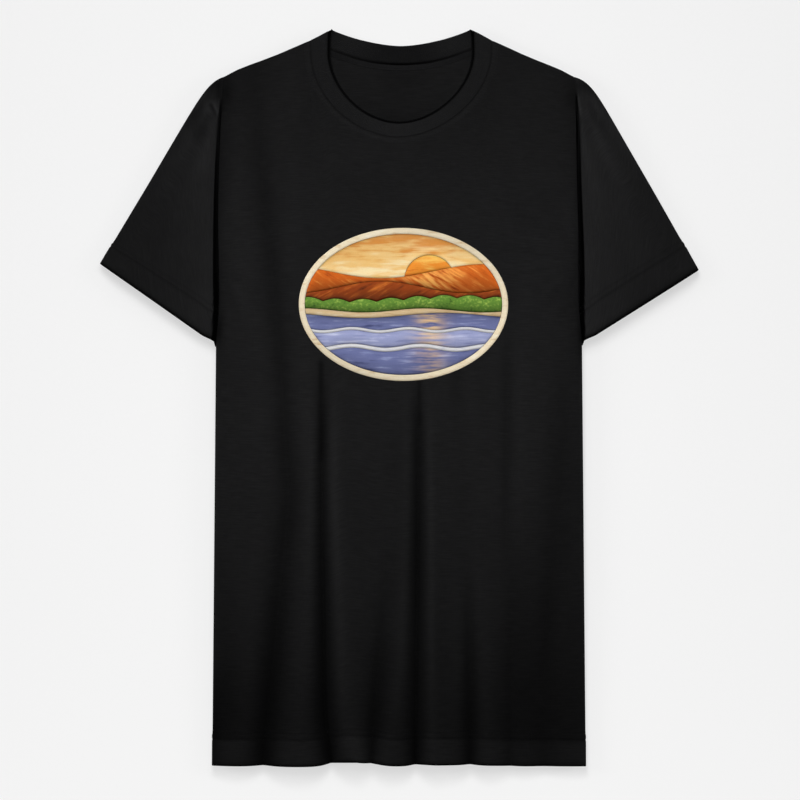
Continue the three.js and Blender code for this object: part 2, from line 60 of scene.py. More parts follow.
Array = np.ndarray
Number = Union[float, Array]
Arrays = tuple[Array, Array]
Rows = Sequence[Arrays]
Pair = tuple[float, float]
Triple = tuple[float, float, float]
Values = tuple[float, ...]
Colour = Triple
Line = Callable[[Array], Array]
Piece = bpy.types.Object
Material = bpy.types.Material
Tree = bpy.types.NodeTree


# ---- Small sums ------------------------------------------------------------------------------


def smoothstep(value: Number, low: float, high: float) -> Number:
    """Run smoothly from 0 at low to 1 at high."""
    share = np.clip((value - low) / (high - low), 0, 1)
    return share * share * (3 - 2 * share)


def lerp(start: Number, end: Number, share: Number) -> Number:
    """Mix start and end by share."""
    return start + (end - start) * share


def round_off(distance: Number, radius: float) -> Number:
    """Rise from 0 at an edge to 1 from one radius in, as a quarter circle."""
    return np.sqrt(1 - (1 - np.clip(distance / radius, 0, 1)) ** 2)


def wall_up(value: Number, low: float, high: float) -> Number:
    """Run from 0 at low, steeply, to 1 at high, level."""
    return np.sin(QUARTER * np.clip((value - low) / (high - low), 0, 1))


def bell(offset: Number) -> Number:
    """Stand at 1 in the middle and fall to either side."""
    return np.exp(-(offset**2))


def soft_line(at: Number, places: Sequence[float], values: Sequence[float]) -> Number:
    """Follow the values at the places, with the corners between them rounded.

    Args:
        at: where the line is read.
        places: ascending places along it, in millimetres.
        values: its value at each of them.

    Returns:
        The smoothed values.
    """
    reach = np.linspace(-27, 27, 7)
    return sum(np.interp(at + step, places, values) for step in reach) / len(reach)


def ripple(x: Array, y: Array, size_x: float, size_y: float, seed: float) -> Array:
    """Give gentle random height, from about -1 to 1, with lumps of the given sizes."""
    flat = [
        noise.noise(Vector((a / size_x, b / size_y, seed)))
        for a, b in zip(np.ravel(x), np.ravel(y))
    ]
    return np.reshape(flat, np.shape(x))


def reaches(path: Array) -> Array:
    """Give how far along a path each of its points lies."""
    return np.concatenate([[0], np.cumsum(np.linalg.norm(np.diff(path, axis=0), axis=1))])


def read_path(at: Number, reach: Array, data: Array) -> Array:
    """Read what goes with a path's points, in three parts, at distances along the path."""
    return np.stack([np.interp(at, reach, data[:, axis]) for axis in range(3)], axis=-1)


class Side(Enum):
    """A side of the wearer, with the way that it lies along X."""

    LEFT = 1
    RIGHT = -1


# ---- The cut of the shirt --------------------------------------------------------------------


@dataclass(frozen=True)
class Fold:
    """A valley that runs down the front, with ridges beside it.

    At each height, places says where it lies, depths how deep it is and widths how wide. The
    ridges are shares of the depth, and lie away from the valley by a number of its widths.
    """

    heights: Values
    places: Values
    depths: Values
    widths: Values
    right_ridge: float = 0.35
    left_ridge: float = 0.15
    ridge_away: float = 2.8
    ridge_width: float = 1.5
    sharpness: float = 1.4

    def height(self, x: Array, y: Array) -> Array:
        """Give how far the fold moves the cloth up or down."""
        width = soft_line(y, self.heights, self.widths)
        off = (x - soft_line(y, self.heights, self.places)) / width
        depth = soft_line(y, self.heights, self.depths)
        right = self.right_ridge * bell((off - self.ridge_away) / self.ridge_width)
        left = self.left_ridge * bell((off + self.ridge_away) / self.ridge_width)
        return depth * (right + left - np.exp(-(np.abs(off) ** self.sharpness)))


FOLDS = (
    Fold(
        (-368, -330, -250, -100, -12, 24),
        (-66, -74, -75, -77, -76, -76),
        (18, 16.5, 15, 11, 7, 0),
        (9, 7, 6, 4.5, 4, 6),
        0.45,
        ridge_width=2.1,
    ),
    Fold(
        (-368, -200, -100, -20, 12),
        (16, 18, 19, 19, 18),
        (13, 12, 10, 6.5, 0),
        (6.5, 5, 4.5, 4, 5),
        0.4,
    ),
    Fold(
        (-368, -344, -242, -162, -102, -42, 18, 98, 178, 298),
        (-137, -134, -123, -116, -109, -114, -116, -124, -131, -144),
        (12, 12, 9.5, 8, 7, 6, 5.5, 5, 4.6, 3),
        (10, 10, 9.5, 9, 8.5, 8, 8, 9, 10, 11),
        0.25,
    ),
    Fold((-368, -330, -230, -165), (71, 71, 70, 69), (10, 10.5, 5, 0), (6.5, 6.5, 5.5, 5), 0.15),
    Fold(
        (-368, -342, -302, -242, -200, -170),
        (-29, -27, -23, -18, -15, -13),
        (8, 8, 7, 4.5, 2, 0),
        (5.5, 5.5, 6.5, 7, 6, 5),
    ),
    Fold(
        (-368, -260, -180, -60, 60),
        (143, 146, 152, 163, 167),
        (5, 6, 6, 5, 0),
        (24, 24, 22, 15, 12),
        0.1,
    ),
    Fold((-368, -260, -150), (112, 112, 112), (5, 3.5, 0), (8, 8, 8), 0.2),
    Fold((-200, -90, 20, 90), (106, 107, 108, 108), (0, 2.8, 3, 0), (6, 5, 5, 5)),
    Fold((-60, 0, 120, 200), (57, 57, 57, 57), (0, 1.6, 1.6, 0), (5, 5, 5, 5)),
)


@dataclass(frozen=True)
class Cut:
    """Sizes of the shirt as it lies, and its outline and heights from them, in millimetres.

    A bump is given as its place, its width and its height, and a step as where it starts, where
    it ends and its height.
    """

    cloth: float = 0.9
    seam_gap: float = 0.35
    neck_lap: float = 0.3
    side_gap: float = 0.4
    length: float = 736
    hem_half: float = 187
    side_half: float = 183.3
    chest_half: float = 180.2
    side_y: float = 50
    side_blend: float = 50
    armhole_power: float = 1.7
    shoulder_half: float = 176
    shoulder_fall: float = 0.418
    collar_fall: float = 0.478
    shoulder_bump: Triple = (61, 22, 0.7)
    shoulder_step: Triple = (70, 86, 1.1)
    shoulder_places: Values = (62, 69, 74, 81, 94, 108, 122, 139, 160)
    shoulder_offsets: Values = (0.9, 0.9, 0.2, -0.6, 0.4, 0.1, -0.4, -0.5, 0)
    hem_bumps: tuple[Triple, ...] = (
        (-50, 19, 5.2), (-24, 15, 1.7), (28, 12, 0.9), (60, 45, 1.5)
    )
    hem_step: Triple = (80, 130, 0.7)
    underarm_y: float = 118
    tuck_above_underarm: Pair = (4, 56)
    tuck_below_tip: Pair = (20, 48)
    flush_below_tip: Pair = (18, 40)
    sewn_above_underarm: float = 20
    edge_height: float = 16
    side_roll: float = 40
    shoulder_roll: float = 40
    back_side_roll: float = 26
    back_shoulder_roll: float = 32
    tuck_in: float = 8
    tuck_down: float = 12
    armhole_rise: float = 8
    head_height: float = 8.3
    back_tuck_in: float = 4
    neck_half: float = 69
    neck_widest: float = 69.9
    neck_widest_y: float = 345
    neck_front_y: float = 277.3
    neck_power: float = 1.08
    end_flare: float = 1.375
    side_flare: float = 1.26
    middle_flare: float = 1.05
    neck_back_y: float = 353.5
    rib_width: float = 16
    back_rib_width: float = 18
    back_neck_power: float = 2.0
    arc_share: float = 0.85
    crown_places: Values = (
        -368, -341, -325, -285, -200, -60, 60, 140, 190, 230, 265, 300, 345
    )
    crown_heights: Values = (27, 26, 27.5, 32, 35.5, 38.5, 40.5, 41.5, 39, 34, 28, 24, 22)
    left_corner: Values = (6, 170, 335, 50, 150)
    right_corner: Values = (4, 250, 335, 110, 170)
    dent: Values = (1.6, 84, 15, 268, 12)
    printed_reach: Pair = (112, 84)

    @property
    def hem_y(self) -> float:
        """Give the place of the hem."""
        return -self.length / 2

    @property
    def collar_half(self) -> float:
        """Give half the width over the seams of the collar."""
        return self.neck_half + self.rib_width * self.end_flare

    @property
    def tip_y(self) -> float:
        """Give the place of the shoulder tip."""
        return float(self.shoulder_line(self.shoulder_half))

    @property
    def shoulder_cosine(self) -> float:
        """Give the cosine of the shoulder's slope."""
        return 1 / math.hypot(1, self.shoulder_fall)

    def shoulder_line(self, x: Number) -> Number:
        """Give the height in plan of the collar's end and the shoulder seam."""
        past = np.abs(x) - self.collar_half
        top = self.length / 2 - self.collar_fall * (self.collar_half - self.neck_half)
        at, width, rise = self.shoulder_bump
        low, high, drop = self.shoulder_step
        top = top + rise * bell((past - at) / width) - drop * smoothstep(past, low, high)
        top = top + np.interp(np.abs(x), self.shoulder_places, self.shoulder_offsets)
        return top - past * np.where(past > 0, self.shoulder_fall, self.collar_fall)

    def body_half(self, y: Number) -> Number:
        """Give half the body's width."""
        low = np.clip((y - self.hem_y) / (self.side_y - self.hem_y), 0, 1)
        below = lerp(self.hem_half, self.side_half, low)
        up = np.clip((y - self.underarm_y) / (self.tip_y - self.underarm_y), 0, 1)
        above = lerp(self.chest_half, self.shoulder_half, up**self.armhole_power)
        return lerp(below, above, smoothstep(y, self.side_y, self.side_y + self.side_blend))

    def hem_line(self, x: Number) -> Number:
        """Give the front hem, which rides up where the cloth is gathered into folds."""
        raised = sum(rise * bell((x - at) / width) for at, width, rise in self.hem_bumps)
        low, high, drop = self.hem_step
        return self.hem_y + raised - drop * smoothstep(x, low, high)

    def tuck(self, y: Number) -> Number:
        """Give 1 along the armhole, and 0 at the underarm and at the shoulder tip."""
        above = smoothstep(y - self.underarm_y, *self.tuck_above_underarm)
        return above * smoothstep(self.tip_y - y, *self.tuck_below_tip)

    def flush(self, y: Number) -> Number:
        """Give 1 near the shoulder tip, where the armhole seam lies flat, and 0 below."""
        return 1 - smoothstep(self.tip_y - y, *self.flush_below_tip)

    def sewn_side(self, y: Number) -> Number:
        """Give 1 below the underarm, where front and back are sewn together, and 0 above."""
        return 1 - smoothstep(y, self.underarm_y, self.underarm_y + self.sewn_above_underarm)

    def shoulder_distance(self, x: Number, y: Number) -> Number:
        """Give how far a place lies below the shoulder seam."""
        return (self.shoulder_line(x) - y) * self.shoulder_cosine

    def crown_height(self, x: Array, y: Array) -> Array:
        """Give the height of the front with its folds and creases."""
        crown = soft_line(y, self.crown_places, self.crown_heights)
        for side, corner in ((1, self.left_corner), (-1, self.right_corner)):
            drop, high, low, inner, outer = corner
            crown = crown - drop * smoothstep(-y, high, low) * smoothstep(side * x, inner, outer)
        deep, across, width, along, length = self.dent
        crown = crown - deep * bell((x - across) / width) * bell((y - along) / length)
        return crown + self.fold_height(x, y) + self.creases(x, y)

    def fold_height(self, x: Array, y: Array) -> Array:
        """Give how far the folds move the cloth up or down."""
        return sum(each.height(x, y) for each in FOLDS)

    def creases(self, x: Array, y: Array) -> Array:
        """Give the small unevenness of the front, which the print keeps flatter."""
        (across, along), (width, length) = PRINT_MIDDLE, self.printed_reach
        printed = bell(((x - across) / width) ** 2) * bell(((y - along) / length) ** 2)
        low = smoothstep(-y, -120, 250)
        long_ones = (0.3 + 1.1 * low) * ripple(x, y, 21, 170, 3.1)
        broad = 0.7 * ripple(x, y, 43, 52, 7.7)
        small = 0.22 * ripple(x, y, 15, 19, 12.4)
        return (long_ones + broad + small) * (1 - 0.7 * printed) + self.drag_lines(x, y)

    def drag_lines(self, x: Array, y: Array) -> Array:
        """Give the soft lines that run in from each underarm."""
        total = np.zeros(np.shape(x))
        for side, seed in ((-1, 2.2), (1, 9.4)):
            across, along = side * x - self.chest_half, y - self.underarm_y - 20
            far = np.hypot(across, along)
            angle = np.arctan2(along, -across)
            total = total + 1.4 * bell((far - 38) / 36) * ripple(angle, far, 0.24, 220, seed)
        return total

    def front_edge_height(self, y: Number) -> Number:
        """Give the height of the front's side edge."""
        shoulder = round_off(self.shoulder_distance(self.body_half(y), y), self.shoulder_roll)
        level = self.head_height * self.flush(y) * shoulder
        return self.edge_height + self.side_gap / 2 + self.armhole_rise * self.tuck(y) + level

    def front_height(self, x: Array, y: Array, sideways: Number = 1.0) -> Array:
        """Give the height of the front; sideways is 0 where its side stands upright."""
        edge = self.front_edge_height(y)
        up = sideways * round_off(self.shoulder_distance(x, y), self.shoulder_roll)
        return edge + (self.crown_height(x, y) - edge) * up

    def on_front(self, x: Array, y: Array) -> Arrays:
        """Give points of the front at places on its flat part, and the outward direction there."""
        step = 0.5
        z = self.front_height(x, y)
        across = (self.front_height(x + step, y) - self.front_height(x - step, y)) / (2 * step)
        along = (self.front_height(x, y + step) - self.front_height(x, y - step)) / (2 * step)
        normals = np.stack([-across, -along, np.ones(z.shape)], axis=-1)
        normals /= np.linalg.norm(normals, axis=-1, keepdims=True)
        return np.stack([x, y, z], axis=-1), normals

    def back_height(self, x: Array, y: Array, upright: Number = 0.0) -> Array:
        """Give the height of the back's underside; upright is 1 at its sides."""
        shoulder = round_off(self.shoulder_distance(x, y), self.back_shoulder_roll)
        top = self.edge_height - self.side_gap / 2
        return top * (1 - (1 - upright * self.sewn_side(y)) * shoulder)

    def neck_radii(self, widen: float) -> Pair:
        """Give how far the front neckline lies from the middle of its widest place."""
        widest = self.neck_widest + widen * self.side_flare
        return widest, self.neck_widest_y - self.neck_front_y + widen * self.middle_flare

    def past_collar(self, x: Array, y: Array) -> Array:
        """Give how far a place of the front lies outside the seam of the rib."""
        widest, depth = self.neck_radii(self.rib_width)
        power = 2 / self.neck_power
        across = np.abs(x) / widest
        down = np.maximum(self.neck_widest_y - y, 0) / depth
        steep = power * np.hypot(across ** (power - 1) / widest, down ** (power - 1) / depth)
        return (across**power + down**power - 1) / np.maximum(steep, 0.002)

    def front_neckline(self, share: Array, widen: float) -> Arrays:
        """Give the front neckline in plan, for shares from the middle to the shoulder.

        Args:
            share: 0 at the middle and 1 at the shoulder.
            widen: 0 at the rib's free edge, and its width at its seam.

        Returns:
            The places across and along.
        """
        widest, depth = self.neck_radii(widen)
        angle = QUARTER * np.minimum(share / self.arc_share, 1)
        up = np.clip((share - self.arc_share) / (1 - self.arc_share), 0, 1)
        end = self.neck_half + widen * self.end_flare
        x = np.where(up > 0, lerp(widest, end, up**2), widest * np.sin(angle) ** self.neck_power)
        low = self.neck_widest_y - depth * np.cos(angle) ** self.neck_power
        return x, np.where(up > 0, lerp(self.neck_widest_y, self.shoulder_line(end), up), low)

    def back_neckline(self, share: Array, widen: float) -> Arrays:
        """Give the back neckline in plan, as front_neckline does."""
        end = self.neck_half + widen * self.end_flare
        middle = self.neck_back_y - widen * self.back_rib_width / self.rib_width
        power = lerp(1.7, self.back_neck_power, widen / self.rib_width)
        x = end * share
        raised = smoothstep(x, 30, 74) * (1 - smoothstep(x, 76, 90)) * widen / self.rib_width
        return x, lerp(middle, self.shoulder_line(end), share**power) + 1.6 * raised

    def back_half(self, y: Number) -> Number:
        """Give half the back's width, which lies further in along the armhole."""
        to_tip = smoothstep(y, self.tip_y - 40, self.tip_y)
        return self.body_half(y) - self.back_tuck_in * (1 - self.sewn_side(y)) * (1 - to_tip)


# ---- Sheets of cloth -------------------------------------------------------------------------


@dataclass
class Sheet:
    """A closed sheet of cloth over a grid of columns and rows.

    points is the sewn shape, out and back say how far the two faces lie before and behind it.
    Columns and rows run so that their cross product points out of the garment. A ring's columns
    join up. The last field says how much lighter, above 0, or darker the colour is drawn: on cloth
    it is painted light and shade, on ink films the print's own tone.
    """

    points: Array
    out: Array
    back: Array
    ring: bool = False
    fade: Optional[Array] = None

    def normals(self) -> Array:
        """Give the outward direction at each point."""
        if self.ring:
            along = np.roll(self.points, -1, 0) - np.roll(self.points, 1, 0)
        else:
            along = np.gradient(self.points, axis=0)
        cross = np.cross(along, np.gradient(self.points, axis=1))
        return cross / np.maximum(np.linalg.norm(cross, axis=2, keepdims=True), 1e-9)

    def outer(self) -> Array:
        """Give the points of the outer face."""
        return self.points + self.normals() * self.out[..., None]

    def inner(self) -> Array:
        """Give the points of the inner face."""
        return self.points - self.normals() * self.back[..., None]

    def flat_places(self) -> Array:
        """Give each point's place on the cloth laid flat, from the middle column's lower end."""
        closed = np.concatenate([self.points, self.points[:1]]) if self.ring else self.points
        across = np.linalg.norm(np.diff(closed, axis=0), axis=2)
        u = np.concatenate([np.zeros((1, across.shape[1])), np.cumsum(across, 0)])
        along = np.linalg.norm(np.diff(closed, axis=1), axis=2)
        v = np.concatenate([np.zeros((along.shape[0], 1)), np.cumsum(along, 1)], axis=1)
        return np.stack([u - u[len(u) // 2], v], axis=2)

    def build(self, name: str) -> Piece:
        """Make the sheet's object, with a map of its flat places in metres.

        Args:
            name: the object's name.

        Returns:
            The object.
        """
        loop = np.concatenate([self.outer(), self.inner()[:, ::-1]], axis=1)
        flat = self.flat_places()
        flat = np.concatenate([flat, flat[:, ::-1]], axis=1)
        count, size = loop.shape[:2]
        rows = size // 2
        last = count if self.ring else count - 1
        faces, corners = [], []
        for i in range(last):
            for k in range(size):
                after = (k + 1) % size
                ring_of = ((i, k), (i + 1, k), (i + 1, after), (i, after))
                faces.append([(a % count) * size + b for a, b in ring_of])
                corners.extend(ring_of)
        for end in () if self.ring else (0, count - 1):
            for j in range(rows - 1):
                cap = [(end, j), (end, j + 1), (end, size - 2 - j), (end, size - 1 - j)]
                cap = cap if end == 0 else cap[::-1]
                faces.append([a * size + b for a, b in cap])
                corners.extend(cap)
        columns, places = np.array(corners).T
        made = make_mesh(name, loop.reshape(-1, 3), faces, flat[columns, places])
        # Store the painted light and shade of cloth sheets, and the print tone of ink films, as a
        # point attribute.
        if self.fade is not None:
            both = np.concatenate([self.fade, self.fade[:, ::-1]], axis=1)
            painted_light_and_tone_attribute = made.data.attributes.new(PAINTED_LIGHT_AND_TONE, "FLOAT", "POINT")
            painted_light_and_tone_attribute.data.foreach_set("value", both.astype(np.float32).ravel())
        return made


NECK_SHIFT, NECK_RISE = 2, 0.4
BODY_SHIFT, CHEST_SHIFT = 0.5, 1.1


def settle(points: Array) -> Array:
    """Shift the body and the neck a little against each other, as the shirt happens to lie."""
    x, y, z = points.T
    at_neck = smoothstep(y, 245, 335) * (1 - smoothstep(np.abs(x), 95, 165))
    at_chest = bell((y - 215) / 70)
    off_sleeves = 1 - smoothstep(np.abs(x), 185, 260)
    shift = NECK_SHIFT * at_neck - (BODY_SHIFT + CHEST_SHIFT * at_chest) * off_sleeves
    return np.stack([x + shift, y + NECK_RISE * smoothstep(y, 250, 345), z], axis=1)


def make_mesh(name: str, points: Array, faces: list, flat: Array) -> Piece:
    """Make an object from points in millimetres, shaded smooth.

    Args:
        name: the object's name.
        points: its vertices.
        faces: the vertices of each face.
        flat: the place on the flat cloth for each corner of each face, in millimetres.

    Returns:
        The object, linked to the scene.
    """
    mesh = bpy.data.meshes.new(name)
    mesh.from_pydata((settle(points) * MM).tolist(), [], faces)
    cloth_map = mesh.uv_layers.new(name=CLOTH_MAP)
    cloth_map.data.foreach_set("uv", (flat * MM).astype(np.float32).ravel())
    mesh.polygons.foreach_set("use_smooth", [True] * len(mesh.polygons))
    mesh.update()
    made = bpy.data.objects.new(name, mesh)
    bpy.context.scene.collection.objects.link(made)
    return made


def edge_round(distance: Array, half: float, least: float = 0.12) -> Array:
    """Give the share of its thickness that cloth keeps this near to an edge."""
    return np.maximum(round_off(distance, half), least)


# ---- Stitches --------------------------------------------------------------------------------


@dataclass(frozen=True)
class Stitch:
    """One stitch of sewing thread, and how rows of it are set, in millimetres."""

    length: float = 2.5
    width: float = 0.5
    height: float = 0.34
    pitch: float = 3.1
    sides: int = 6
    rings: int = 5
    sag: float = 0.35

    def prototype(self) -> tuple[Array, list, Array]:
        """Model one stitch along X and give its points, faces and flat places.

        The sphere's faces come in no fixed order, so they are sorted.
        """
        bpy.ops.object.select_all(action="DESELECT")
        bpy.ops.mesh.primitive_uv_sphere_add(
            segments=self.sides, ring_count=self.rings, radius=0.5, rotation=(0, QUARTER, 0)
        )
        made = bpy.context.object
        bpy.ops.object.transform_apply(location=False, rotation=True, scale=False)
        made.scale = (self.length, self.width, self.height)
        bpy.ops.object.transform_apply(location=False, rotation=False, scale=True)
        mesh = made.data
        points = np.array([v.co for v in mesh.vertices])
        points[:, 2] -= self.sag * self.height * (2 * points[:, 0] / self.length) ** 2
        loops = (list(p.vertices) for p in mesh.polygons)
        starts = ((loop, loop.index(min(loop))) for loop in loops)
        faces = sorted(loop[start:] + loop[:start] for loop, start in starts)
        around = np.arctan2(points[:, 2], points[:, 1]) / (2 * math.pi)
        flat = np.stack([points[:, 0], around], axis=1)
        corners = flat[[v for f in faces for v in f]]
        bpy.data.objects.remove(made)
        bpy.data.meshes.remove(mesh)
        return points, faces, corners

    def sew(self, name: str, rows: Rows) -> Piece:
        """Set copies of the stitch along rows.

        Args:
            name: the object's name.
            rows: for each row, the points that it follows and the outward direction at each.

        Returns:
            One object with all of the rows' stitches.
        """
        shape, faces, corners = self.prototype()
        points, all_faces, flat, made = [], [], [], 0
        for path, normals in rows:
            reach = reaches(path)
            count = int(reach[-1] / self.pitch)
            for at in (np.arange(count) + 0.5) * reach[-1] / max(count, 1):
                here, up = (read_path(at, reach, data) for data in (path, normals))
                behind, ahead = read_path(at + self.length / 2 * np.array([-1, 1]), reach, path)
                forward = (ahead - behind) / np.linalg.norm(ahead - behind)
                side = np.cross(up, forward)
                side /= np.linalg.norm(side)
                turn = np.stack([forward, side, np.cross(forward, side)])
                points.append(shape @ turn + here)
                all_faces.extend([[v + made for v in f] for f in faces])
                flat.append(corners)
                made += len(shape)
        return make_mesh(name, np.concatenate(points), all_faces, np.concatenate(flat))


def sunk(sheet: Sheet, depth: float) -> Array:
    """Give the sheet's outer face, sunk into the cloth by depth."""
    return sheet.points + sheet.normals() * (sheet.out - depth)[..., None]


# ---- Front and back --------------------------------------------------------------------------


@dataclass(frozen=True)
class Hem:
    """A turned hem, sewn with two rows of stitches."""

    turned: float = 34
    rows: Pair = (26.5, 32.5)
    puff: float = 0.7
    groove: float = 0.5
    # How wide the painted shade along the hem's fold is.
    dark: float = 2.2
    places: Values = (
        0, 0.15, 0.5, 1, 2, 4, 7, 10, 13, 16, 19, 21.5, 23.5, 25, 25.8, 26.5, 27.2, 28.2,
        29.5, 31, 31.8, 32.5, 33.2, 34, 35, 37, 40,
    )

    def relief(self, distance: Array, along: Array, seed: float) -> Array:
        """Give how far the outer face stands out, this far from the fold and along the hem."""
        single = smoothstep(distance, self.rows[1] - 1, self.turned + 2)
        height = self.puff * (1 - single)
        for row in self.rows:
            height = height - self.groove * bell((distance - row) / 1.0)
        near = bell((distance - self.rows[0]) / 14)
        return height + 0.28 * near * ripple(along, distance, 6.5, 34, seed)

    def depth(self, distance: Array) -> Array:
        """Give how much the turned layer adds inside."""
        return 1 - smoothstep(distance, self.turned, self.turned + 0.8)


def painted_hem_shade(hem: Hem, tone: Array, from_hem: Array) -> Array:
    """Paint shade onto a tone along the hem's fold and its two rows of stitches."""
    tone = tone * (1 - 0.97 * bell(from_hem / hem.dark))
    for row, share in zip(hem.rows, (0.2, 0.12)):
        tone = tone * (1 - share * bell((from_hem - row) / 1.3))
    return tone


def painted_streak_light(streaks: tuple, x: Array, y: Array) -> Array:
    """Give painted shade and highlights along short creases.

    Args:
        streaks: the start, the end, the width and the lightness of each.
        x: places across.
        y: places along.

    Returns:
        The tone at each place, 1 away from them.
    """
    tone = np.ones(x.shape)
    for start, end, width, share in streaks:
        way = np.subtract(end, start)
        far = np.clip(((x - start[0]) * way[0] + (y - start[1]) * way[1]) / (way @ way), 0, 1)
        off = np.hypot(x - start[0] - far * way[0], y - start[1] - far * way[1])
        tone = tone * (1 + share * bell(off / width))
    return tone


@dataclass(frozen=True)
class PanelGrid:
    """How a panel is divided, and how wide its side roll is.

    The marks are the columns at the middle, at the neck's widest place and corner, and at the roll.
    """

    marks: tuple[int, ...]
    neck_shares: Values
    flat_shares: Values
    roll_columns: int
    side_rows: int
    armhole_rows: int
    roll: float


FRONT_GRID = PanelGrid((0, 52, 58, 88), (0, 0.85, 1, 1), (0, 0.666, 0.72, 1), 24, 100, 42, 40)
BACK_GRID = PanelGrid((0, 20, 21, 34), (0, 20 / 21, 1, 1), (0, 20 / 34, 21 / 34, 1), 14, 60, 26, 26)
LEAN_REACH = 60
TOP_PLACES = (
    43.4, 38, 33, 28, 23.5, 19.5, 16, 13, 10.5, 8.5, 6.8, 5.8, 5, 4.2, 3.2, 2.3, 1.5, 0.9, 0.4, 0
)
EDGE_RADIUS = 0.9


class Panel:
    """The front or the back of the body."""

    def __init__(self, cut: Cut, hem: Hem, grid: PanelGrid) -> None:
        """Keep the panel's sizes."""
        self.cut, self.hem, self.grid = cut, hem, grid

    def neckline(self, share: Array) -> Arrays:
        """Give the neckline that the panel ends at."""
        raise NotImplementedError

    def hem_at(self, x: Array) -> Array:
        """Give the panel's hem."""
        raise NotImplementedError

    def place(self, side: Array, share: Array, turn: Array, lean: Array, y: Array) -> Array:
        """Give points of the sewn shape."""
        raise NotImplementedError

    def sheet(self, direction: int) -> tuple[Sheet, Array, Array]:
        """Lay out the panel's grid.

        Args:
            direction: 1 if its columns run along +X, and -1 along -X.

        Returns:
            The sheet with no thickness yet, and each point's distance from the hem and the top.
        """
        cut, grid = self.cut, self.grid
        widest, corner, flat_columns = grid.marks[1:]
        count = flat_columns + grid.roll_columns
        number = direction * np.arange(-count, count + 1)
        k = np.abs(number)
        side = np.sign(number)
        share = np.interp(k, grid.marks, grid.flat_shares)
        turn = np.clip((k - flat_columns) / grid.roll_columns, 0, 1)
        flat_top = cut.shoulder_half - grid.roll
        neck_x, neck_y = self.neckline(np.interp(k, grid.marks, grid.neck_shares))
        along = np.clip((k - corner) / (flat_columns - corner), 0, 1)
        seam_x = cut.collar_half - cut.neck_lap
        bend = grid.roll * np.sin(turn * QUARTER)
        top_x = np.where(k <= corner, neck_x, lerp(seam_x, flat_top, along) + bend)
        top_y = np.where(k <= corner, neck_y, cut.shoulder_line(top_x))
        lean = top_x - flat_top * share - bend
        leans_from = np.where(k <= widest, cut.hem_y, top_y - LEAN_REACH)

        hem_x = side * (cut.hem_half - grid.roll * (1 - turn)) * share
        bottom = self.hem_at(hem_x)
        y = self.row_heights(bottom, top_y)
        up = np.clip((y - leans_from[:, None]) / (top_y - leans_from)[:, None], 0, 1)
        up = np.where((k <= widest)[:, None], up**4, up**2)
        columns = (value[:, None] for value in (side, share, turn))
        points = self.place(*columns, lean[:, None] * up, y)
        blank = np.zeros(y.shape)
        return Sheet(points, blank, blank), y - bottom[:, None], top_y[:, None] - y

    def row_heights(self, bottom: Array, top: Array) -> Array:
        """Give the heights of the rows in every column, close together at the edges."""
        cut, grid = self.cut, self.grid
        hem = bottom[:, None] + np.array(self.hem.places)
        side_share = np.linspace(0, 1, grid.side_rows + 1)[1:]
        side = lerp(hem[:, -1:], cut.underarm_y, side_share)
        start = (top - TOP_PLACES[0])[:, None]
        armhole = lerp(cut.underarm_y, start, np.linspace(0, 1, grid.armhole_rows + 1)[1:])
        roll = top[:, None] - np.array(TOP_PLACES[1:])
        return np.concatenate([hem, side, armhole, roll], axis=1)

    def edges(self, from_hem: Array, from_top: Array) -> Array:
        """Give the share of its thickness that the panel keeps near its hem and its top."""
        return edge_round(from_hem, EDGE_RADIUS) * edge_round(from_top + 0.05, EDGE_RADIUS, 0.3)

    def thicken(self, sheet: Sheet, from_hem: Array, from_top: Array) -> Sheet:
        """Give the sheet its thickness, its hem and its rounded edges."""
        raise NotImplementedError

    def fade(self, sheet: Sheet, from_hem: Array, from_top: Array) -> Array:
        """Give the panel's painted light and shade."""
        raise NotImplementedError

    def hem_rows(self, sheet: Sheet) -> Rows:
        """Give the paths of the hem's two rows of stitches."""
        path, normals = sunk(sheet, 0.1), sheet.normals()
        rows = [self.hem.places.index(row) for row in self.hem.rows]
        return [(path[2:-2, j], normals[2:-2, j]) for j in rows]


@dataclass(frozen=True)
class PaintedSideLight:
    """The painted light and shade of the front along one of its sides.

    beside goes with SIDE_PLACES. underarm is its painted shade's height, how tall it is and how
    wide, and tip is how far its own painted shade lies below the shoulder tip, how tall it is and how
    dark.
    """

    beside: Values
    underarm: Triple
    tip: Triple
    hem_dark: float = 0.0

    def at(self, from_side: Array, y: Array, tip_y: float) -> Array:
        """Give the painted light and shade this far in from the side, where the shoulder tip is at
        tip_y.
        """
        tone = 1 + soft_line(y, SIDE_PLACES, self.beside) * bell(from_side / 14)
        middle, tall, wide = self.underarm
        tone = tone * (1 - 0.75 * bell((y - middle) / tall) * bell(from_side / wide))
        at_hem = 1 - smoothstep(y, -330, -250)
        tone = tone * (1 - self.hem_dark * at_hem * bell(from_side / 8))
        below, tall, dark = self.tip
        return tone * (1 - dark * bell((y - tip_y + below) / tall) * bell((from_side - 3.5) / 7))


SIDE_PLACES = (25, 60, 88, 148, 178, 218, 258, 300)
PAINTED_SIDE_LIGHT = {
    Side.LEFT: PaintedSideLight(
        (0, -0.22, -0.12, 0.2, 0.15, 0.05, -0.12, -0.26), (56, 22, 4), (20, 8, 0.22)
    ),
    Side.RIGHT: PaintedSideLight(
        (0, -0.22, -0.12, 0.1, -0.05, -0.22, -0.24, -0.34), (66, 15, 6), (17, 12, 0.36), 0.35
    ),
}
# Painted light down the front: lighter on the chest, and darker towards the hem as painted shade.
PAINTED_FRONT_LIGHT_PLACES = (-345, -318, -262, -182, -100, -20, 160, 200, 290, 330)
PAINTED_FRONT_LIGHT = (0.6, 0.62, 0.8, 0.98, 1.12, 1.2, 1.18, 1.08, 0.95, 0.88)
